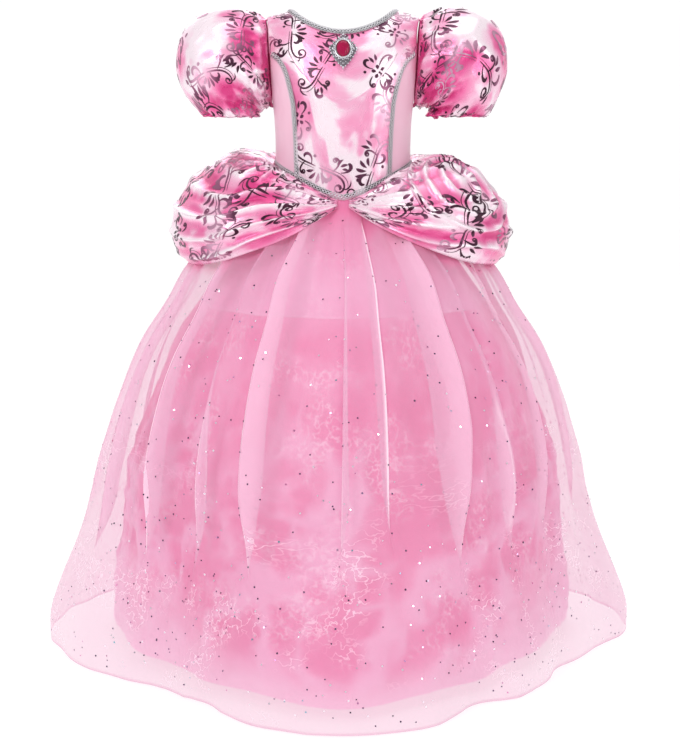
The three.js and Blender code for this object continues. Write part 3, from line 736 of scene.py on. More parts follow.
def bodicePanel(name, edges, relief, material, flat):
    # a patch of the form between four edges, raised by its relief; flat is its cut in mm
    grid = patch(*edges)
    rows, columns = grid.shape[:2]
    surface = raised(formPoint, relief)
    points = surface(grid[..., 0], grid[..., 1])
    uv = np.stack(np.meshgrid(np.linspace(0, flat[0], columns), np.linspace(0, flat[1], rows)), -1)
    # the depth value paints shade: deeper pink in the dents, and paler, a painted highlight, where the relief
    # stands high
    depth = bodice["depth"] - bodice["dent"] * relief(grid[..., 0], grid[..., 1])
    piece = newPiece("cloth_" + name, points, gridQuads(rows, columns), uv, {"depth": depth})
    thicken(piece, bodice["wall"])
    dress(piece, material, [name])


princessFoot = float(waistRise(bodice["princessFootAngle"]))


def resample(path, count):
    # the same polyline with evenly spaced points; a degree round is about 1.7 mm
    path = np.array(path, float)
    reach = np.concatenate([[0], np.cumsum(np.hypot(*np.diff(path * [1.7, 1.0], axis=0).T))])
    at = np.linspace(0, reach[-1], count)
    return np.stack([np.interp(at, reach, path[:, k]) for k in (0, 1)], -1)


def fitted(bottom, top, start, end, columns, rows):
    # the four edges with evenly spaced points, as many as the panel's columns and rows
    edges = ((bottom, columns), (top, columns), (start, rows), (end, rows))
    return [resample(edge, count) for edge, count in edges]


def waistEdge(angles):
    # just above the waist seam
    return pairs(angles, waistRise(angles) + bodice["seamGap"])


def topEdge(back):
    # from the armhole over the shoulder seam and down the neckline to the centre
    neckAngle, neckRise = neckAt(1, back)
    armAngle = bodice["armhole"][-1][1]
    armAngle = 180 - armAngle if back else armAngle
    shoulder = np.stack([np.linspace(armAngle, neckAngle, 12), np.full(12, shoulderLine)], -1)
    curve = np.stack(neckAt(np.linspace(1, 0, 40)[1:], back), -1)
    return np.concatenate([shoulder, curve])


def frontPanel():
    # between the princess seams and the armholes, from the waist to the neckline
    half = topEdge(False)
    top = np.concatenate([half * [-1, 1], half[:-1][::-1]])
    foot = float(princessAngle(princessFoot)) - bodice["seamAngle"]
    bottom = waistEdge(np.linspace(-foot, foot, 200))
    low = np.linspace(princessFoot, bodice["princessTop"], 60)
    high = np.linspace(bodice["princessTop"], shoulderLine, 60)[1:]
    princess = pairs(princessAngle(low) - bodice["seamAngle"], low)
    end = np.concatenate([princess, pairs(armholeAngle(high), high)])
    end[0] = bottom[-1]
    return fitted(bottom, top, end * [-1, 1], end, 95, 105)


def sidePanel(hand):
    # from the princess seam to the side seam, under the armhole
    rises = np.linspace(princessFoot, bodice["princessTop"], 60)
    sideSeam = 90 - bodice["seamAngle"]
    start = pairs(princessAngle(rises) + bodice["seamAngle"], rises)
    bottom = waistEdge(np.linspace(start[0][0], sideSeam, 30))
    start[0] = bottom[0]
    end = pairs(sideSeam, np.linspace(bottom[-1][1], 0, 40))
    t = np.linspace(0, 1, 40)
    rise = mix(bodice["princessTop"], 0, t**0.7)
    top = pairs(armholeAngle(rise), rise)
    top[0] = start[-1]
    top[-1] = end[-1]
    return handed(fitted(bottom, top, start, end, 26, 60), hand)


def handed(edges, hand):
    # the same edges on the gown's other side, with start and end changed over
    bottom, top, start, end = edges
    if hand > 0:
        return edges
    return [bottom[::-1] * [-1, 1], top[::-1] * [-1, 1], end * [-1, 1], start * [-1, 1]]


def backPanel(hand):
    # from the side seam and the armhole to the centre back
    sideSeam, centre = 90 + bodice["seamAngle"], 180 - bodice["seamAngle"]
    top = topEdge(True)
    bottom = waistEdge(np.linspace(sideSeam, centre, 60))
    top[-1][0] = centre
    low = pairs(sideSeam, np.linspace(bottom[0][1], 0, 40))
    rises = np.linspace(0, shoulderLine, 60)[1:]
    start = np.concatenate([low, pairs(180 - armholeAngle(rises), rises)])
    end = pairs(centre, np.linspace(bottom[-1][1], top[-1][1], 60))
    return handed(fitted(bottom, top, start, end, 44, 90), hand)


frontRelief = bodiceRelief(11, 1.5, 0.5)
bodicePanel("bodice_front", frontPanel(), frontRelief, foilSatin, (220, 262))
for hand, side in ((1, "right"), (-1, "left")):
    relief = bodiceRelief(21 + hand, 0.5, 0.15)
    bodicePanel("bodice_side_" + side, sidePanel(hand), relief, paleSatin, (72, 160))
    relief = bodiceRelief(31 + hand, 0.7, 0.3)
    bodicePanel("bodice_back_" + side, backPanel(hand), relief, paleSatin, (125, 262))

# the front's print: the flat place of the centre line and the chest ring, its height, the margins to the
# seams and the neckline, and the circle round the brooch and below it where no spray starts
frontPrint = {
    "middle": 110.0, "chest": 128.0, "wide": 220, "tall": 340, "side": 1.5, "waist": 3.0, "neck": 5.0,
    "bare": (120, 115, 34),
}

# the reach along the chest ring, from the centre front, as a share of its half width
ringAngles = np.linspace(-90, 90, 181)
ringPoints = formPoint(ringAngles, np.zeros(181))
ringSteps = np.linalg.norm(np.diff(ringPoints, axis=0), axis=-1)
ringReach = np.concatenate([[0], np.cumsum(ringSteps)]) / along(bodice["halfWidth"], 0)
ringReach = ringReach - ringReach[90]


def frontToCloth(u, v):
    # flat millimetres to the form's angle and rise
    rise = v - frontPrint["chest"]
    reach = (u - frontPrint["middle"]) / along(bodice["halfWidth"], rise)
    return np.interp(reach, ringReach, ringAngles), rise


def frontInside(angle, rise):
    # inside the seams, above the waist and below the neckline
    edge = np.where(rise < bodice["princessTop"], princessAngle(rise), armholeAngle(rise))
    x, y, _ = np.moveaxis(formPoint(angle, rise), -1, 0)
    wide, deep = bodice["neckWide"] + frontPrint["neck"], bodice["neckFront"] + frontPrint["neck"]
    across = (np.abs(angle) < edge - frontPrint["side"]) & ((x / wide) ** 2 + (y / deep) ** 2 > 1) & (y < 0)
    return across & (rise > waistRise(angle) + frontPrint["waist"]) & (rise < shoulderLine - 1)


frontCloth = raised(formPoint, frontRelief)
scrollPrint(
    "print_front", frontCloth, frontToCloth, frontPrint["wide"], frontPrint["tall"], frontInside, 5,
    bare=frontPrint["bare"],
)
print("bodice ready")


# puff sleeves: a step goes from 0 at the armhole over the ball to 10 at the cuff, and 11 is its tuck; turn is
# the tilt of each step's plane, toBall how much of the ball it has, and armGap and armShare hold the
# sleeve's seam just inside the armhole
sleeve = {
    "x": 158.0, "z": -69.0, "radius": 76.0, "lowerRadius": 78.0, "hingeX": 108.0, "hingeZ": -137.0,
    "gathers": 11, "seamDepth": 4.0, "cuffDepth": 3.5, "cuff": 31.0, "tuck": 9.0, "droop": 5.0,
    "turn": [
        (0, 88), (1, 86), (2, 81), (3, 73), (4, 62), (5, 50), (6, 38), (7, 26), (8, 14), (9, 4), (10, -1),
    ],
    "toBall": [(0, 0), (1, 0.55), (2, 0.9), (3, 1), (4, 1), (10, 1)], "armGap": 0.68, "armShare": 0.993,
    "pleat": 2.8, "cuffPleat": 0.9, "facet": 5.4, "pucker": 1.7, "sink": 2.2,
    "depth": 0.34, "dent": 0.12, "shade": 0.30, "wall": 0.6, "girth": 480.0, "stepLength": 20.0,
    "printTall": 205, "printStep": 19.0, "printFrom": 0.3, "printTo": 9.7,
    "columns": 190, "rows": 100,
}


def armholePoint(turn):
    # the armhole's edge for a turn about the sleeve
    rise = bodice["topRise"] * np.arcsin(0.5 + 0.5 * np.cos(turn * degrees))
    angle = armholeAngle(rise) + sleeve["armGap"]
    angle = np.where(np.sin(turn * degrees) >= 0, angle, 180 - angle)
    return formPoint(angle, 100 + (rise - 100) * sleeve["armShare"])


def sleeveBall(turn, step):
    # a ball swept by planes that turn about a line under the arm, drawn in to the armhole and the cuff
    at = np.clip(step, 0, 10)
    swing = along(sleeve["turn"], at) * degrees
    toBall = np.clip(along(sleeve["toBall"], at), 0, 1)[..., None]
    about = turn * degrees
    gapX = sleeve["x"] - sleeve["hingeX"]
    gapZ = sleeve["z"] - sleeve["hingeZ"]
    reach = gapX * np.cos(swing) + gapZ * np.sin(swing)
    off = gapX * np.sin(swing) - gapZ * np.cos(swing)
    radius = mix(sleeve["lowerRadius"], sleeve["radius"], soft(swing / (60 * degrees)))
    ring = np.sqrt(np.maximum(radius**2 - off**2, sleeve["cuff"] ** 2))
    toSeam = bell(step - 1.2, 1.1)
    toCuff = bell(step - 9.6, 1.3)
    ripple = np.cos(sleeve["gathers"] * about + 0.5 * np.sin(3 * about))
    ripple = ripple * (sleeve["seamDepth"] * toSeam + sleeve["cuffDepth"] * toCuff)
    tuck = np.clip(step - 10, 0, 1)
    around = mix(ring + ripple, sleeve["cuff"], tuck)
    droop = sleeve["droop"] * toCuff * (1 - tuck)
    out = reach + around * np.cos(about)
    x = sleeve["hingeX"] + out * np.cos(swing)
    y = -around * np.sin(about)
    z = sleeve["hingeZ"] + out * np.sin(swing) - droop + tuck * sleeve["tuck"]
    return mix(armholePoint(turn), vectors(x, y, z), toBall)


def sleeveRelief(seed):
    # gathers that run out from the armhole and up from the cuff, and broad facets with sharp ridges between
    def height(turn, step):
        u = turn / 360
        toSeam = bell(np.maximum(step - 1.2, 0), 2.0) * soft(step / 1.2)
        toCuff = bell(np.maximum(9.2 - step, 0), 1.5) * soft((11 - step) / 1.5)
        pleats = sleeve["pleat"] * toSeam + sleeve["cuffPleat"] * toCuff
        pleats = creases(u * 22, step / 6, seed, 22) * pleats
        facets = creases(u * 5, step / 3.4, seed + 9, 5)
        puckers = creases(u * 13, step / 1.7, seed + 19, 13)
        calm = soft(step / 2) * soft((10.6 - step) / 1.8)
        return pleats + (sleeve["facet"] * facets + sleeve["pucker"] * puckers) * calm - sleeve["sink"]

    return height


def sleeveToneAndShade(turn, step, relief):
    # painted shade: deeper pink in the dents, and in the gathers round the armhole and under the sleeve
    under = soft((step - 7.5) / 3) + bell(step, 1.6)
    return sleeve["depth"] - sleeve["dent"] * relief(turn, step) + sleeve["shade"] * under


def makeSleeve(side, hand):
    # the ball raised by its relief, mirrored for the other side, and its print
    relief = sleeveRelief(60 + hand)
    rightCloth = raised(sleeveBall, relief)

    def cloth(turn, step):
        return rightCloth(turn, step) * np.array([hand, 1, 1])

    turns = np.arange(sleeve["columns"]) * 360 / sleeve["columns"] - 180
    steps = np.linspace(0, 11, sleeve["rows"])
    turn, step = np.meshgrid(turns, steps)
    uv = np.stack([(turn + 180) * sleeve["girth"] / 360, step * sleeve["stepLength"]], -1)
    values = {"depth": sleeveToneAndShade(turn, step, relief)}
    quads = gridQuads(sleeve["rows"], sleeve["columns"], ring=True, flip=hand < 0)
    piece = newPiece("puff_" + side, cloth(turn, step), quads, uv, values, girth=sleeve["girth"])
    thicken(piece, sleeve["wall"])
    dress(piece, foilSatin, ["sleeve_" + side])
    prints = scrollPrint(
        "print_sleeve_" + side,
        cloth,
        lambda u, v: (u * 360 / sleeve["girth"] - 180, v / sleeve["printStep"]),
        sleeve["girth"],
        sleeve["printTall"],
        lambda turn, step: (step > sleeve["printFrom"]) & (step < sleeve["printTo"]) & (np.abs(turn) < 180),
        70 + hand,
        flip=hand < 0,
    )


makeSleeve("right", 1)
makeSleeve("left", -1)
print("sleeves ready")


# skirts: profile is the half width at each level, plan the hem's reach all round, and top a level seam in
# place of the waist; up goes from 0 at the foot to 100 at the top. There are count folds of a depth, which
# start over a drop below the waist and whose spacing wanders a few degrees
overSkirt = {
    "foot": -887.0, "hem": -887.0, "top": None, "inset": 0.0,
    "profile": [
        (-887, 420), (-846, 418), (-779, 392), (-682, 353), (-614, 337), (-521, 307),
        (-459, 280), (-404, 244), (-357, 217), (-300, 168), (-250, 130), (-206, 96),
    ],
    "plan": [
        (-180, 398), (-150, 368), (-120, 392), (-90, 430), (-62, 396), (-45, 356), (-28, 366), (-14, 410),
        (0, 420), (14, 412), (27, 366), (41, 370), (58, 350), (72, 372), (90, 422), (120, 390), (150, 372),
        (180, 398),
    ],
    "count": 22, "depth": 9.0, "wander": 3.1, "start": 26.0,
}
underSkirt = {
    "foot": -872.0, "hem": -872.0, "top": -402.15, "inset": 2.0,
    "profile": [
        (-872, 336), (-846, 334), (-728, 318), (-613, 302), (-534, 271), (-441, 232),
        (-402, 203), (-357, 170), (-300, 136), (-257, 113), (-206, 92),
    ],
    "plan": [
        (-180, 345), (-150, 325), (-90, 338), (-50, 318), (-28, 328), (0, 368),
        (28, 326), (60, 306), (90, 330), (150, 325), (180, 345),
    ],
    "count": 12, "depth": 5.0, "wander": 2.3, "start": 40.0,
}
yokeSkirt = {**underSkirt, "foot": -401.85, "top": None}
gatherDrop = 120.0  # how far below the waist the skirt has left the waist's ring
planStart = -470.0  # the level below which the hem's plan shows


def skirtTop(skirt, about):
    # the waist seam, or the yoke's level seam for the lower part
    if skirt["top"] is not None:
        return np.full(np.shape(about), skirt["top"])
    return waistHeight(about) - 0.5


def skirtPoint(even, up, skirt, foldScale=1.0):
    # waist ring and round skirt mixed over the gather drop; radius = profile * plan + folds
    evenTurn = even * degrees
    angle = even + skirt["wander"] * (np.sin(2 * evenTurn) + 0.7 * np.sin(5 * evenTurn))
    about = signed(angle)
    turn = angle * degrees
    level = mix(skirt["foot"], skirtTop(skirt, about), up / 100)
    drop = waistHeight(about) - level
    roundness = 1 - (1 - np.clip(drop / gatherDrop, 0, 1)) ** 2
    plan = along(skirt["plan"], about) / skirt["profile"][0][1]
    spread = soft((planStart - level) / (planStart - skirt["hem"]))
    base = along(skirt["profile"], level) * mix(1, plan, spread)
    full = mix(0.35, 1, soft(drop / 330))
    fold = foldScale * skirt["depth"] * soft(drop / skirt["start"]) * full * np.cos(skirt["count"] * evenTurn)
    waist = waistPoint(about)
    inset = 1 - skirt["inset"] / np.hypot(waist[..., 0], waist[..., 1])
    x = mix(waist[..., 0] * inset, (base + fold) * np.sin(turn), roundness)
    y = mix(waist[..., 1] * inset, -(base + fold) * np.cos(turn), roundness)
    return vectors(x, y, level)


def skirtSheet(name, cloth, columns, heights, girth, tall, values, material):
    # a tube of cloth: columns round, rows at the given heights in hundredths; girth and tall are its flat
    # size for the material, and values makes each attribute
    evens = np.arange(columns) * 360 / columns - 180
    even, up = np.meshgrid(evens, heights)
    uv = np.stack([(even + 180) * girth / 360, up * tall / 100], -1)
    made = {key: value(even, up) for key, value in values.items()}
    quads = gridQuads(len(heights), columns, ring=True)
    piece = newPiece("cloth_" + name, cloth(even, up), quads, uv, made, girth=girth)
    dress(piece, material, [name])


# the underskirt's creases in mm, and its tones, with painted shade in the dents and under the point and round
# the top of the yoke, and a painted highlight along the yoke's seam: the hem pales over a strip of hundredths
# of its height
underFold = {
    "crinkle": 5.5, "fine": 2.6, "sink": 1.5, "yokeGather": 1.6, "depth": 0.52, "dent": 0.13,
    "yokeToneAndShade": 0.35, "yokeDent": 0.1, "yokeFrontShade": 0.9, "yokeTopShade": 0.4, "yokeSeamHighlight": 0.35,
    "hemFront": 11, "hemSide": 36,
}


def underRelief(even, up):
    # crinkles all over the lower part, and soft drapes above
    u = even / 360
    low = soft((96 - up) / 50)
    crinkle = creases(u * 30, up / 15, 141, 30)
    fine = creases(u * 84, up / 5.5, 151, 84)
    height = underFold["crinkle"] * crinkle * low + underFold["fine"] * fine * mix(0.4, 1, low)
    return (height * mix(0.4, 1, soft(up / 3)) - underFold["sink"]) * soft((100 - up) / 6)


def yokeRelief(even, up):
    # small gathers under the waist seam
    gathers = creases(even / 360 * 46, up / 90, 161, 46)
    return underFold["yokeGather"] * gathers * soft((98 - up) / 20) * soft(up / 10)


def hemFade(even, up):
    # pales towards the hem, over a narrow strip at the front and a wide one at the sides
    tall = mix(underFold["hemFront"], underFold["hemSide"], soft((np.abs(signed(even)) - 8) / 55))
    return soft((tall - up) / tall)


def underToneAndShade(even, up):
    # painted shade: deeper pink in the dents, over a base tone
    return underFold["depth"] - underFold["dent"] * underRelief(even, up)


def yokeToneAndShade(even, up):
    # painted shade: deeper pink in the dents, under the point of the waist and round the top
    front = underFold["yokeFrontShade"] * bell(signed(even), 16) * soft((up - 20) / 60)
    dents = underFold["yokeDent"] * yokeRelief(even, up)
    return underFold["yokeToneAndShade"] - dents + front + underFold["yokeTopShade"] * soft((up - 70) / 30)


underCloth = raised(lambda even, up: skirtPoint(even, up, underSkirt), underRelief)
yokeCloth = raised(lambda even, up: skirtPoint(even, up, yokeSkirt), yokeRelief)
skirtSheet(
    "underskirt_lower", underCloth, 420, np.linspace(0, 100, 96), 2120, 480,
    {"depth": underToneAndShade, "hem": hemFade},
    pinkSatin,
)
skirtSheet(
    "underskirt_yoke", yokeCloth, 300, np.linspace(0, 100, 40), 1280, 230,
    # the yoke's lowest rows are painted paler: a painted highlight along the seam
    {"depth": yokeToneAndShade, "hem": lambda even, up: underFold["yokeSeamHighlight"] * (up < 1.5)},
    yokeSatin,
)
print("underskirt ready")

# the overskirt's folds: out is how far a layer lies over the next, and lean how far it leans sideways,
# between least and most; past turned it shows a turned edge
overFold = {
    "out": 3.2, "lean": 2.35, "uneven": 2.1, "most": 3.2, "least": 0.15, "turned": 0.85, "swell": 3.0,
    "fine": 60, "fineDepth": 2.2, "waves": 2.6,
}


def overPhase(even, up):
    # fold phase, unevenly spaced and swaying a little on the way down
    u = even / 360
    spacing = 2.4 * noise(u * 11, 0 * up + 0.5, 171, 11)
    sway = 0.7 * noise(u * 11 + 3, up / 45 + 3, 175, 11) * soft((100 - up) / 70)
    return overSkirt["count"] * even * degrees + spacing + sway


def overLean(even, up):
    # how far a fold leans over, towards the side of the gown: past 1 the cloth turns back on itself
    u = even / 360
    strength = overFold["lean"] + overFold["uneven"] * noise(u * 22 + 0.5, up / 80 + 9, 172, 22)
    foot = 14 + 9 * noise(u * 22 + 0.5, 0 * up + 4.5, 178, 22)
    side = np.tanh(9 * np.sin((even - 4) * degrees) + 1.2 * noise(u * 9, up / 70, 177, 9))
    strength = np.clip(strength, overFold["least"], overFold["most"])
    return strength * side * soft((up - foot) / 34) * soft((100 - up) / 9)


def overHeight(even, up):
    # leaning layers lie over each other; swells, small gathers and waves are read where the cloth has
    # leant to, so that layers don't cross
    phase = overPhase(even, up)
    lean = overLean(even, up)
    moved = lean * np.sin(phase)
    u = (even + moved / overSkirt["count"] / degrees) / 360
    layers = overFold["out"] * np.minimum(np.abs(lean), 1.4) * np.sin(phase)
    swells = overFold["swell"] * soft((up - 10) / 40) * np.cos(phase + moved)
    gathers = creases(u * overFold["fine"], up / 120, 173, overFold["fine"])
    fine = overFold["fineDepth"] * gathers * soft((up - 62) / 30)
    waves = overFold["waves"] * creases(u * 30, up / 22, 174, 30) * soft((70 - up) / 40)
    return (layers + swells + fine + waves) * soft((100 - up) / 6)


def overSurface(even, up):
    # skirt surface moved out by its height, and along itself by lean * spacing * sin(phase)
    base = skirtPoint(even, up, overSkirt, 0.25)
    across = unit(skirtPoint(even + 0.05, up, overSkirt, 0) - skirtPoint(even - 0.05, up, overSkirt, 0))
    rise = unit(skirtPoint(even, up + 0.05, overSkirt, 0) - skirtPoint(even, up - 0.05, overSkirt, 0))
    out = np.cross(across, rise)
    spacing = np.hypot(base[..., 0], base[..., 1]) / overSkirt["count"]
    side = overLean(even, up) * spacing * np.sin(overPhase(even, up))
    return base + out * overHeight(even, up)[..., None] + across * side[..., None]


def turning(even, up):
    # the fold's phase, how fast it runs sideways (below 0 it runs back), and 1 where it leans enough to turn
    lean = overLean(even, up)
    phase = overPhase(even, up)
    return phase, 1 + lean * np.cos(phase), soft((np.abs(lean) - overFold["turned"]) / 0.4)


def turnedEdge(even, up):
    # 1 where the cloth turns back, most on the outer layer
    phase, speed, turned = turning(even, up)
    return bell(speed, 0.27) * turned * mix(0.55, 1, soft(0.5 + np.sin(phase)))


def foldedOver(even, up):
    # 1 in the layer that runs back under the turned edge, fading towards the fold's other side
    phase, speed, turned = turning(even, up)
    return soft(-speed / 0.5) * turned * mix(0.4, 1, soft(0.5 + 0.7 * np.sin(phase)))


# count sequins between two heights; widest is past the skirt's widest ring, and top the level of height 100
sequin = {
    "count": 2600, "heights": (1, 96), "widest": 430, "top": -230.0, "size": (1.0, 1.5), "tilt": 0.25,
    "lift": 0.7,
}


def makeSequins():
    # small hexagons scattered by even area over the organza, each tilted a little
    random = np.random.default_rng(404)
    count = sequin["count"]
    even = random.uniform(0, 360, count * 2)
    up = random.uniform(*sequin["heights"], count * 2)
    width = along(overSkirt["profile"], mix(overSkirt["foot"], sequin["top"], up / 100))
    keep = random.uniform(0, sequin["widest"], count * 2) < width
    even, up = even[keep][:count], up[keep][:count]
    centre = overSurface(even, up)
    out = normalsOf(overSurface, even, up)
    centre = centre + out * sequin["lift"]
    tilt = unit(out + random.uniform(-sequin["tilt"], sequin["tilt"], out.shape))
    side = unit(np.cross(tilt, np.array([0.0, 0.0, 1.0])))
    top = np.cross(side, tilt)
    radius = random.uniform(*sequin["size"], len(even))[:, None, None]
    turn = (np.arange(6) * math.pi / 3)[None, :, None]
    points = centre[:, None] + radius * (side[:, None] * np.cos(turn) + top[:, None] * np.sin(turn))
    first = np.arange(len(even))[:, None] * 6
    quads = np.concatenate([first + np.array([3, 4, 5, 0]), first + np.array([1, 2, 3, 0])])
    tone = np.repeat(random.uniform(0, 1, len(even)), 6)
    piece = newPiece("sequins", points, quads, values={"tone": tone}, smooth=False)
    dress(piece, sequinFoil)


# hip swags, from 3 degrees off the centre front to 3 off the centre back: bottom is the level of the lower
# edge, bulge the puff's height, which right and left change; over goes from 0 at the waist seam over the
# puff to 180 at the lower edge, and a bunch is where the folds ring or spread from on each side
swag = {
    "bottom": [
        (3, -264), (12, -277), (24, -296), (38, -318), (52, -336), (70, -345),
        (92, -346), (120, -338), (148, -312), (168, -268), (177, -226),
    ],
    "bulge": [
        (3, 3), (12, 11), (24, 26), (38, 45), (52, 62), (70, 76),
        (92, 79), (120, 70), (148, 45), (168, 16), (177, 4),
    ],
    "right": [(3, 1), (50, 1.1), (90, 0.8), (177, 0.9)],
    "left": [(3, 1), (50, 0.86), (90, 0.95), (177, 1)],
    "power": 2.4, "top": 1.6, "topLift": 1.1, "bottomLift": 5.0,
    "bunch": {
        "right": {"angle": 54, "over": 84, "reach": 92, "ring": 21},
        "left": {"angle": 48, "over": 8, "reach": 84, "spokes": 13},
    },
    "fold": 9.0, "folds": 7.4, "facet": 4.6, "crumple": 1.2, "pinch": 5.0,
    "ring": 8.0, "spoke": 6.0, "sink": 2.2,
    "depth": {"right": 0.24, "left": 0.35}, "dent": 0.11, "wall": 0.7,
    "degreeWide": 3.3, "degreeTall": 1.2, "printDegree": 1.25, "printSize": (590, 225),
    "columns": 190, "rows": 120,
}


def paintedSwagShade(even, up):
    # painted shade: 1 under the swags, fading out over a strip below their edge, longest at the front point
    about = np.abs(signed(even))
    level = mix(overSkirt["foot"], waistHeight(about), up / 100)
    strip = mix(34, 15, soft(about / 40))
    return soft((level - along(swag["bottom"], about) + strip) / strip) * 0.75


overHeights = np.concatenate([[0, 0.35, 0.7], np.linspace(1.4, 100, 105)])
skirtSheet(
    "overskirt", overSurface, 704, overHeights, 2620, 760,
    {
        "edge": turnedEdge, "fold": foldedOver, "hem": lambda even, up: (up < 0.5) * 1.0,
        # crinkle is where the organza's painted crinkle highlights show, and deep is its painted shade under
        # the swags
        "crinkle": lambda even, up: soft((58 - up) / 30), "deep": paintedSwagShade,
    },
    organza,
)
makeSequins()
print("overskirt ready")


def overSkin(angle, level, lift):
    # a point just outside the overskirt
    waist = waistPoint(angle)
    drop = waistHeight(angle) - level
    roundness = 1 - (1 - np.clip(drop / gatherDrop, 0, 1)) ** 2
    radius = along(overSkirt["profile"], level) + overSkirt["depth"] / 2 * soft(drop / overSkirt["start"])
    x = mix(waist[..., 0], radius * np.sin(angle * degrees), roundness)
    y = mix(waist[..., 1], -radius * np.cos(angle * degrees), roundness)
    reach = np.hypot(x, y)
    return vectors(x * (reach + lift) / reach, y * (reach + lift) / reach, level)


def swagPuff(angle, over, side):
    # chord from the waist seam to the skirt, with a superellipse bulge over it
    bulge = along(swag[side], angle) * along(swag["bulge"], angle)
    start = overSkin(angle, waistHeight(angle) - swag["top"], swag["topLift"])
    end = overSkin(angle, along(swag["bottom"], angle), swag["bottomLift"])
    chord = end - start
    across = unit(end * np.array([1, 1, 0]))
    out = dot(chord, across)
    tilt = np.hypot(out, chord[..., 2])
    normal = across * (-chord[..., 2] / tilt)[..., None] + vectors(0 * out, 0 * out, out / tilt)
    turn = np.clip(over, 0.2, 179.8) * degrees
    share = 0.5 - 0.5 * power(np.cos(turn), 2 / swag["power"])
    height = bulge * power(np.sin(turn), 2 / swag["power"])
    return start + chord * share[..., None] + normal * height[..., None]


def rolled(phase):
    # a fold that leans: steep on one side and slow on the other, from -0.4 to 0.6
    return (0.5 + 0.5 * np.cos(phase + 0.8 * np.sin(phase))) ** 1.5 - 0.4


def swagRelief(seed, side):
    # rolled folds that run from the front point along the lower edge, broad facets above them, and
    # either rings round a bunch on the hip or pleats that spread from a knot at the waist
    def height(angle, over):
        t = over / 180
        u = angle / 174
        bulge = along(swag["bulge"], angle)
        calm = np.clip(np.sin(np.clip(over, 0, 180) * degrees), 0, 1) ** 0.45 * np.clip(bulge / 36, 0.15, 1)
        calm = calm * mix(1, 0.55, soft((angle - 90) / 30))
        sagging = t - 0.05 * noise(u * 6, t * 2, seed + 3)
        lower = mix(0.3, 1, soft((t - 0.36) / 0.2)) * mix(1, 0.4, soft((angle - 55) / 45))
        folds = swag["fold"] * rolled(2 * math.pi * (swag["folds"] * sagging + 0.35)) * lower
        facets = swag["facet"] * creases(u * 3.4 + 1.2 * t, sagging * 4.5 + 0.8 * u, seed)
        crumple = swag["crumple"] * creases(u * 12, t * 9, seed + 21)
        pinch = swag["pinch"] * creases(t * 8 + 0.4 * u, u * 3, seed + 31) * np.exp(-angle / 38)
        spot = swag["bunch"][side]
        x = (angle - spot["angle"]) * swag["degreeWide"]
        y = (over - spot["over"]) * 1.1
        r = np.hypot(x, y)
        if "ring" in spot:
            phase = 2 * math.pi * r / spot["ring"] + 0.8 * noise(u * 9, t * 4, seed + 8)
            bunch = swag["ring"] * rolled(phase) * soft(r / 12)
        else:
            bunch = swag["spoke"] * rolled(spot["spokes"] * np.arctan2(y, x) + r / 26) * soft(r / 14)
        near = 0.85 * soft((spot["reach"] - r) / 30)
        return (mix(folds, bunch, near) + facets + crumple + pinch - swag["sink"]) * calm

    return height


def makeSwag(side, hand):
    # the puff raised by its relief, mirrored for the other side, and its print
    relief = swagRelief(80 + 3 * hand, side)
    rightCloth = raised(lambda angle, over: swagPuff(angle, over, side), relief, facing=-1)

    def cloth(angle, over):
        return rightCloth(angle, over) * np.array([hand, 1, 1])

    angle, over = np.meshgrid(np.linspace(3, 177, swag["columns"]), np.linspace(179, 1, swag["rows"]))
    uv = np.stack([angle * swag["degreeWide"], over * swag["degreeTall"]], -1)
    # the depth value paints shade: deeper pink in the dents, paler where the relief stands high, over a base
    # level set for each side
    values = {"depth": swag["depth"][side] - swag["dent"] * relief(angle, over)}
    quads = gridQuads(swag["rows"], swag["columns"], flip=hand < 0)
    piece = newPiece("hipSwag_" + side, cloth(angle, over), quads, uv, values)
    thicken(piece, swag["wall"])
    dress(piece, foilSatin, ["swag_" + side])
    prints = scrollPrint(
        "print_swag_" + side,
        cloth,
        lambda u, v: (u / swag["degreeWide"], 180 - v / swag["printDegree"]),
        *swag["printSize"],
        lambda angle, over: (angle > 4) & (angle < 176) & (over > 3) & (over < 176),
        90 + hand,
        flip=hand > 0,
    )


makeSwag("right", 1)
makeSwag("left", -1)
print("swags ready")


# braid: thread is a crossing thread's radius, and edge how far in from the rim the threads turn
braid = {
    "wave": 9.2, "step": 0.6, "thread": 0.72, "sides": 6, "edge": 1.3, "level": 1.5, "cross": 0.5,
    "rimSize": 0.6, "rimLevel": 1.1, "rimIn": 0.7, "scallop": 1.1, "shadeStrip": 0.42, "shadeStripLevel": 0.6,
}


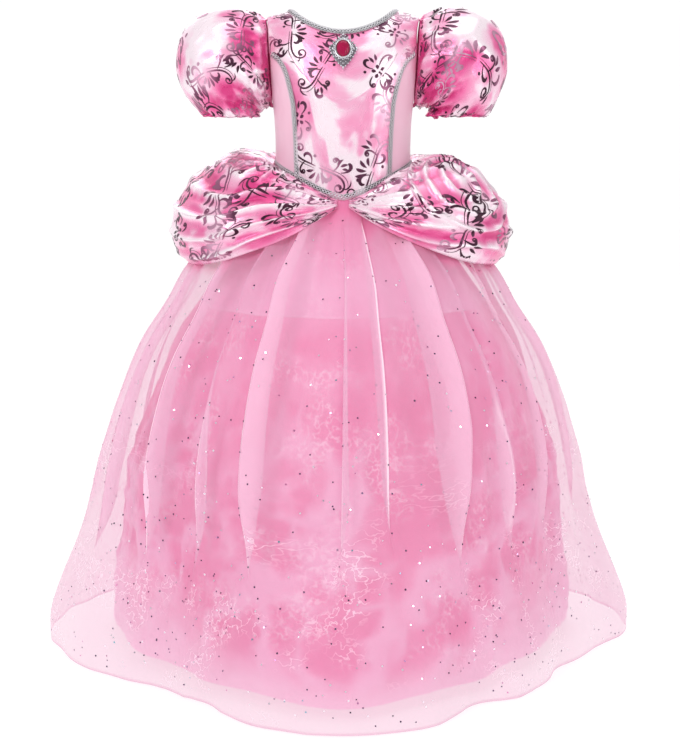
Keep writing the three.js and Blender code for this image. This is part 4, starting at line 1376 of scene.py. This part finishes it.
def braidPiece(name, angle, rise, wide):
    # two threads that zigzag over a flat dark strip of painted shade and cross, with a scalloped thread along
    # each edge
    path = formPoint(angle, rise)
    out = normalsOf(formPoint, angle, rise)
    long = np.concatenate([[0], np.cumsum(np.linalg.norm(np.diff(path, axis=0), axis=-1))])
    at = np.arange(0, long[-1], braid["step"])
    path = np.stack([np.interp(at, long, path[:, k]) for k in range(3)], -1)
    out = unit(np.stack([np.interp(at, long, out[:, k]) for k in range(3)], -1))
    run = unit(np.gradient(path, axis=0))
    across = unit(np.cross(out, run))
    turn = 2 * math.pi * at / braid["wave"]
    zigzag = (wide / 2 - braid["edge"]) * np.arcsin(0.96 * np.sin(turn)) / 1.3
    scallop = wide / 2 - braid["rimIn"] + braid["scallop"] * np.abs(np.sin(turn))
    cross = braid["cross"] * np.cos(turn)
    rim = np.full(len(at), braid["rimLevel"])
    strands = [
        (zigzag, braid["level"] + cross, 1.0), (-zigzag, braid["level"] - cross, 1.0),
        (scallop, rim, braid["rimSize"]), (-scallop, rim, braid["rimSize"]),
    ]
    ringTurn = (np.arange(braid["sides"]) * 2 * math.pi / braid["sides"])[None, :, None]
    parts = []
    for sideways, height, size in strands:
        centre = path + across * sideways[:, None] + out * height[:, None]
        tangent = unit(np.gradient(centre, axis=0))
        side = unit(np.cross(out, tangent))
        top = np.cross(tangent, side)
        ring = side[:, None] * np.cos(ringTurn) + top[:, None] * np.sin(ringTurn)
        tube = centre[:, None] + ring * braid["thread"] * size
        parts.append((tube.reshape(-1, 3), gridQuads(len(at), braid["sides"], ring=True, flip=True)))
    # the strip under the threads, dark in colour: painted shade between them
    rims = (np.array([-braid["shadeStrip"], braid["shadeStrip"]]) * wide)[None, :, None]
    shadeStrip = path[:, None] + across[:, None] * rims + out[:, None] * braid["shadeStripLevel"]
    parts.append((shadeStrip.reshape(-1, 3), gridQuads(len(at), 2, flip=True)))
    points, quads = joined(parts)
    tone = np.ones(len(points))
    tone[-2 * len(at):] = 0
    piece = newPiece("plait_" + name, points, quads, values={"tone": tone})
    dress(piece, silverBraid, [name])


def neckPath():
    # a little below the neckline, from one side of the centre back round to the other: the step away from
    # the neck along the cloth is solved for its angle and rise, by two equations in two unknowns
    frontAngle, frontRise = neckAt(np.linspace(0, 1, 40))
    backAngle, backRise = neckAt(np.linspace(1, 0.015, 40)[1:], True)
    angle = np.concatenate([frontAngle, backAngle])
    rise = np.concatenate([frontRise, backRise])
    place = formPoint(angle, rise)
    away = unit(place * np.array([1 / bodice["neckWide"] ** 2, 1 / bodice["neckFront"] ** 2, 0]))
    out = normalsOf(formPoint, angle, np.minimum(rise, topLength - 1))
    away = unit(away - out * dot(away, out)[:, None])
    byAngle = (formPoint(angle + 0.05, rise) - place) / 0.05
    byRise = (place - formPoint(angle, rise - 0.05)) / 0.05
    aa, bb, ab = dot(byAngle, byAngle), dot(byRise, byRise), dot(byAngle, byRise)
    pa, pb = dot(away, byAngle), dot(away, byRise)
    share = braidPlace["neckBelow"] / (aa * bb - ab**2)
    angle = angle + share * (pa * bb - pb * ab)
    rise = rise + share * (pb * aa - pa * ab)
    return np.concatenate([-angle[1:][::-1], angle]), np.concatenate([rise[1:][::-1], rise])


# where each braid lies, in mm along the cloth, and its width
braidPlace = {
    "neckBelow": 4.0, "neckWide": 7, "waistAbove": 4.4, "waistWide": 7, "waistEnd": 88,
    "princessFrom": princessFoot + 6, "princessTo": 76, "princessWide": 6.4,
}
braidPiece("braid_neck", *neckPath(), braidPlace["neckWide"])
risePath = np.linspace(braidPlace["princessFrom"], braidPlace["princessTo"], 80)
princessPath = princessAngle(risePath) - 1.2 * soft((risePath - 55) / 20)
for hand, side in ((1, "right"), (-1, "left")):
    braidPiece("braid_princess_" + side, hand * princessPath, risePath, braidPlace["princessWide"])
waistAngles = np.linspace(-braidPlace["waistEnd"], braidPlace["waistEnd"], 160)
waistPath = waistRise(waistAngles) + braidPlace["waistAbove"]
braidPiece("braid_waist", waistAngles, waistPath, braidPlace["waistWide"])
print("braid ready")


# brooch: a wire has half sizes, thread, height, waves and their depth; a row of beads has its share of the
# outline, their number and radius; a tip bead has its place on the centre line and radius; and a ring of
# the stone has its share of the girdle and height
brooch = {
    "height": -51.0, "pointed": 1.3, "wide": 18.6, "above": 20.5, "below": 27.5,
    "wires": [(10.9, 13.3, 1.1, 2.6, 0, 0.0), (12.9, 15.4, 0.6, 2.2, 16, 0.06)],
    "beads": [(1.0, 30, 1.25), (0.80, 24, 0.95)], "beadHeight": 2.2, "clear": (12.5, 15),
    "tips": [(22.7, 1.1), (-29.7, 1.2)], "tipHeight": 1.6,
    "stoneWide": 8.9, "stoneTall": 11.9, "stoneSides": 16,
    "stoneRings": [(0.86, 1.6), (1.0, 3.0), (0.84, 4.9), (0.56, 6.4), (0.02, 6.8)],
}


def broochFrame():
    # the seat on the front panel: across, up the cloth, and out of it
    rise = bodice["topRise"] * math.asin((brooch["height"] - bodice["chest"]) / bodice["topRise"])
    a, r = np.array([0.0]), np.array([rise])
    out = normalsOf(formPoint, a, r)[0]
    across = np.array([1.0, 0, 0])
    return formPoint(a, r)[0], across, np.cross(out, across), out


seat, broochAcross, broochUp, broochOut = broochFrame()


def onBrooch(points):
    # from the brooch's own axes to the gown's
    return seat + points[..., :1] * broochAcross + points[..., 1:2] * broochUp + points[..., 2:] * broochOut


def ball(centre, radius, sides=10, rings=6):
    # a small bead: rings of points from pole to pole
    turn = np.arange(sides) * 2 * math.pi / sides
    across, down = np.meshgrid(turn, np.linspace(0.02, math.pi - 0.02, rings))
    shape = vectors(np.sin(down) * np.cos(across), np.sin(down) * np.sin(across), np.cos(down))
    return (np.array(centre) + radius * shape).reshape(-1, 3), gridQuads(rings, sides, ring=True, flip=True)


def loop(halfWide, halfTall, thread, height, waves, depth, sides=8, count=96):
    # a wire bent to an oval, whose half sizes may wave round it
    turn = np.arange(count) * 2 * math.pi / count
    edge = 1 + depth * np.cos(waves * turn)
    ring = np.arange(sides) * 2 * math.pi / sides
    t, k = np.meshgrid(turn, ring, indexing="ij")
    edge = edge[:, None] + np.cos(k) * thread / halfWide
    x = halfWide * edge * np.cos(t)
    y = halfTall * edge * np.sin(t)
    z = height + thread * np.sin(k)
    return vectors(x, y, z).reshape(-1, 3), gridQuads(count, sides, ring=True, closed=True)


def diamond(turn, share):
    # the setting's outline: an oval drawn out to a point above and a longer one below
    p = 2 / brooch["pointed"]
    up = np.where(np.sin(turn) > 0, brooch["above"], brooch["below"])
    return brooch["wide"] * share * power(np.cos(turn), p), up * share * power(np.sin(turn), p)


def makeBrooch():
    # a dark pointed plate, a bezel and a wavy wire round the stone, and beads that follow the plate's edge
    turn, share = np.meshgrid(np.arange(64) * 2 * math.pi / 64, np.linspace(0.42, 0.97, 6))
    x, y = diamond(turn, share)
    plate = vectors(x, y, 0.7 + 1.2 * np.sqrt(1 - share**2)).reshape(-1, 3)
    parts = [(plate, gridQuads(6, 64, ring=True, flip=True))] + [loop(*wire) for wire in brooch["wires"]]
    clearWide, clearTall = brooch["clear"]
    for share, beads, size in brooch["beads"]:
        for around in (np.arange(beads) + 0.5 * (share < 1)) * 2 * math.pi / beads:
            x, y = diamond(around, share)
            if math.hypot(x / clearWide, y / clearTall) > 1:
                parts.append(ball([x, y, brooch["beadHeight"]], size))
    for place, size in brooch["tips"]:
        parts.append(ball([0, place, brooch["tipHeight"]], size))
    points, quads = joined(parts)
    tone = np.ones(len(points))
    tone[: len(plate)] = 0
    piece = newPiece("broochMount", onBrooch(points), quads, values={"tone": tone})
    dress(piece, castSilver, ["brooch_setting"])


def makeStone():
    # a cut oval: girdle, crown and table rings of flat facets
    rings, sides = brooch["stoneRings"], brooch["stoneSides"]
    points = []
    for k, (share, height) in enumerate(rings):
        turn = (np.arange(sides) + 0.5 * (k % 2)) * 2 * math.pi / sides
        wide = brooch["stoneWide"] * share
        tall = brooch["stoneTall"] * share
        points.append(vectors(wide * np.cos(turn), tall * np.sin(turn), np.full(sides, height)))
    quads = gridQuads(len(rings), sides, ring=True)
    piece = newPiece("broochGem", onBrooch(np.concatenate(points)), quads, smooth=False)
    dress(piece, crimsonGlass, ["brooch_stone"])


makeBrooch()
makeStone()
print("brooch ready")


# floor, light and camera: a light has its place, size and watts, and the camera its place, aim and lens
studio = {
    "floor": -889.0, "white": (0.40, 0.39, 0.395), "world": 0.58, "glow": 0.66, "aim": (0, 0, -0.45),
    "lights": {
        "keyLight": ((-1.5, -2.2, 1.3), (0.9, 1.2), 32),
        "fillLight": ((2.0, -1.8, 0.4), (0.9, 1.4), 14),
        "topLight": ((0.2, -0.2, 2.0), (1.6, 1.2), 11),
        "backLight": ((0, 1.9, 0.8), (2.4, 1.6), 16),
    },
    "camera": (-0.0036, -2.2, -0.138), "cameraAim": (-0.0036, 0, -0.51), "lens": 73.98, "sensor": 36,
}


def makeStage():
    # a floor that curves up into a backdrop
    profile = [(-4000, 0), (1800, 0), (2300, 60), (2700, 260), (2950, 640), (3000, 1200), (3000, 5200)]
    across = np.linspace(-5000, 5000, 3)
    y = np.array([p[0] for p in profile], float)
    z = np.array([p[1] for p in profile], float) + studio["floor"]
    gridX, gridY = np.meshgrid(across, y)
    _, gridZ = np.meshgrid(across, z)
    floor = newPiece("studio_floor", vectors(gridX, gridY, gridZ), gridQuads(len(profile), 3))
    finish = Finish("paper", Roughness=0.9, Emission_Color=(1, 1, 1, 1), Emission_Strength=studio["glow"])
    finish.feed(Base_Color=(*studio["white"], 1))
    floor.data.materials.append(finish.material)


def placed(name, data, place, aim):
    # a light or camera at a place, turned so that its -Z points at its aim
    made = bpy.data.objects.new(name, data)
    made.location = place
    made.rotation_euler = (Vector(aim) - Vector(place)).to_track_quat("-Z", "Y").to_euler()
    bpy.context.scene.collection.objects.link(made)
    return made


def addLight(name, place, size, watts):
    # a soft rectangular light
    data = bpy.data.lights.new(name, "AREA")
    data.shape = "RECTANGLE"
    data.size, data.size_y = size
    data.energy = watts
    placed(name, data, place, studio["aim"])


makeStage()
for name, row in studio["lights"].items():
    addLight(name, *row)

world = bpy.data.worlds.new("studio")
world.use_nodes = True
background = next(n for n in world.node_tree.nodes if n.type == "BACKGROUND")
background.inputs["Color"].default_value = (1, 1, 1, 1)
background.inputs["Strength"].default_value = studio["world"]
bpy.context.scene.world = world
bpy.context.scene.view_settings.view_transform = "Standard"

lens = bpy.data.cameras.new("camera")
lens.lens = studio["lens"]
lens.sensor_width = studio["sensor"]
lens.clip_end = 50
bpy.context.scene.camera = placed("camera", lens, studio["camera"], studio["cameraAim"])

print("scene ready")
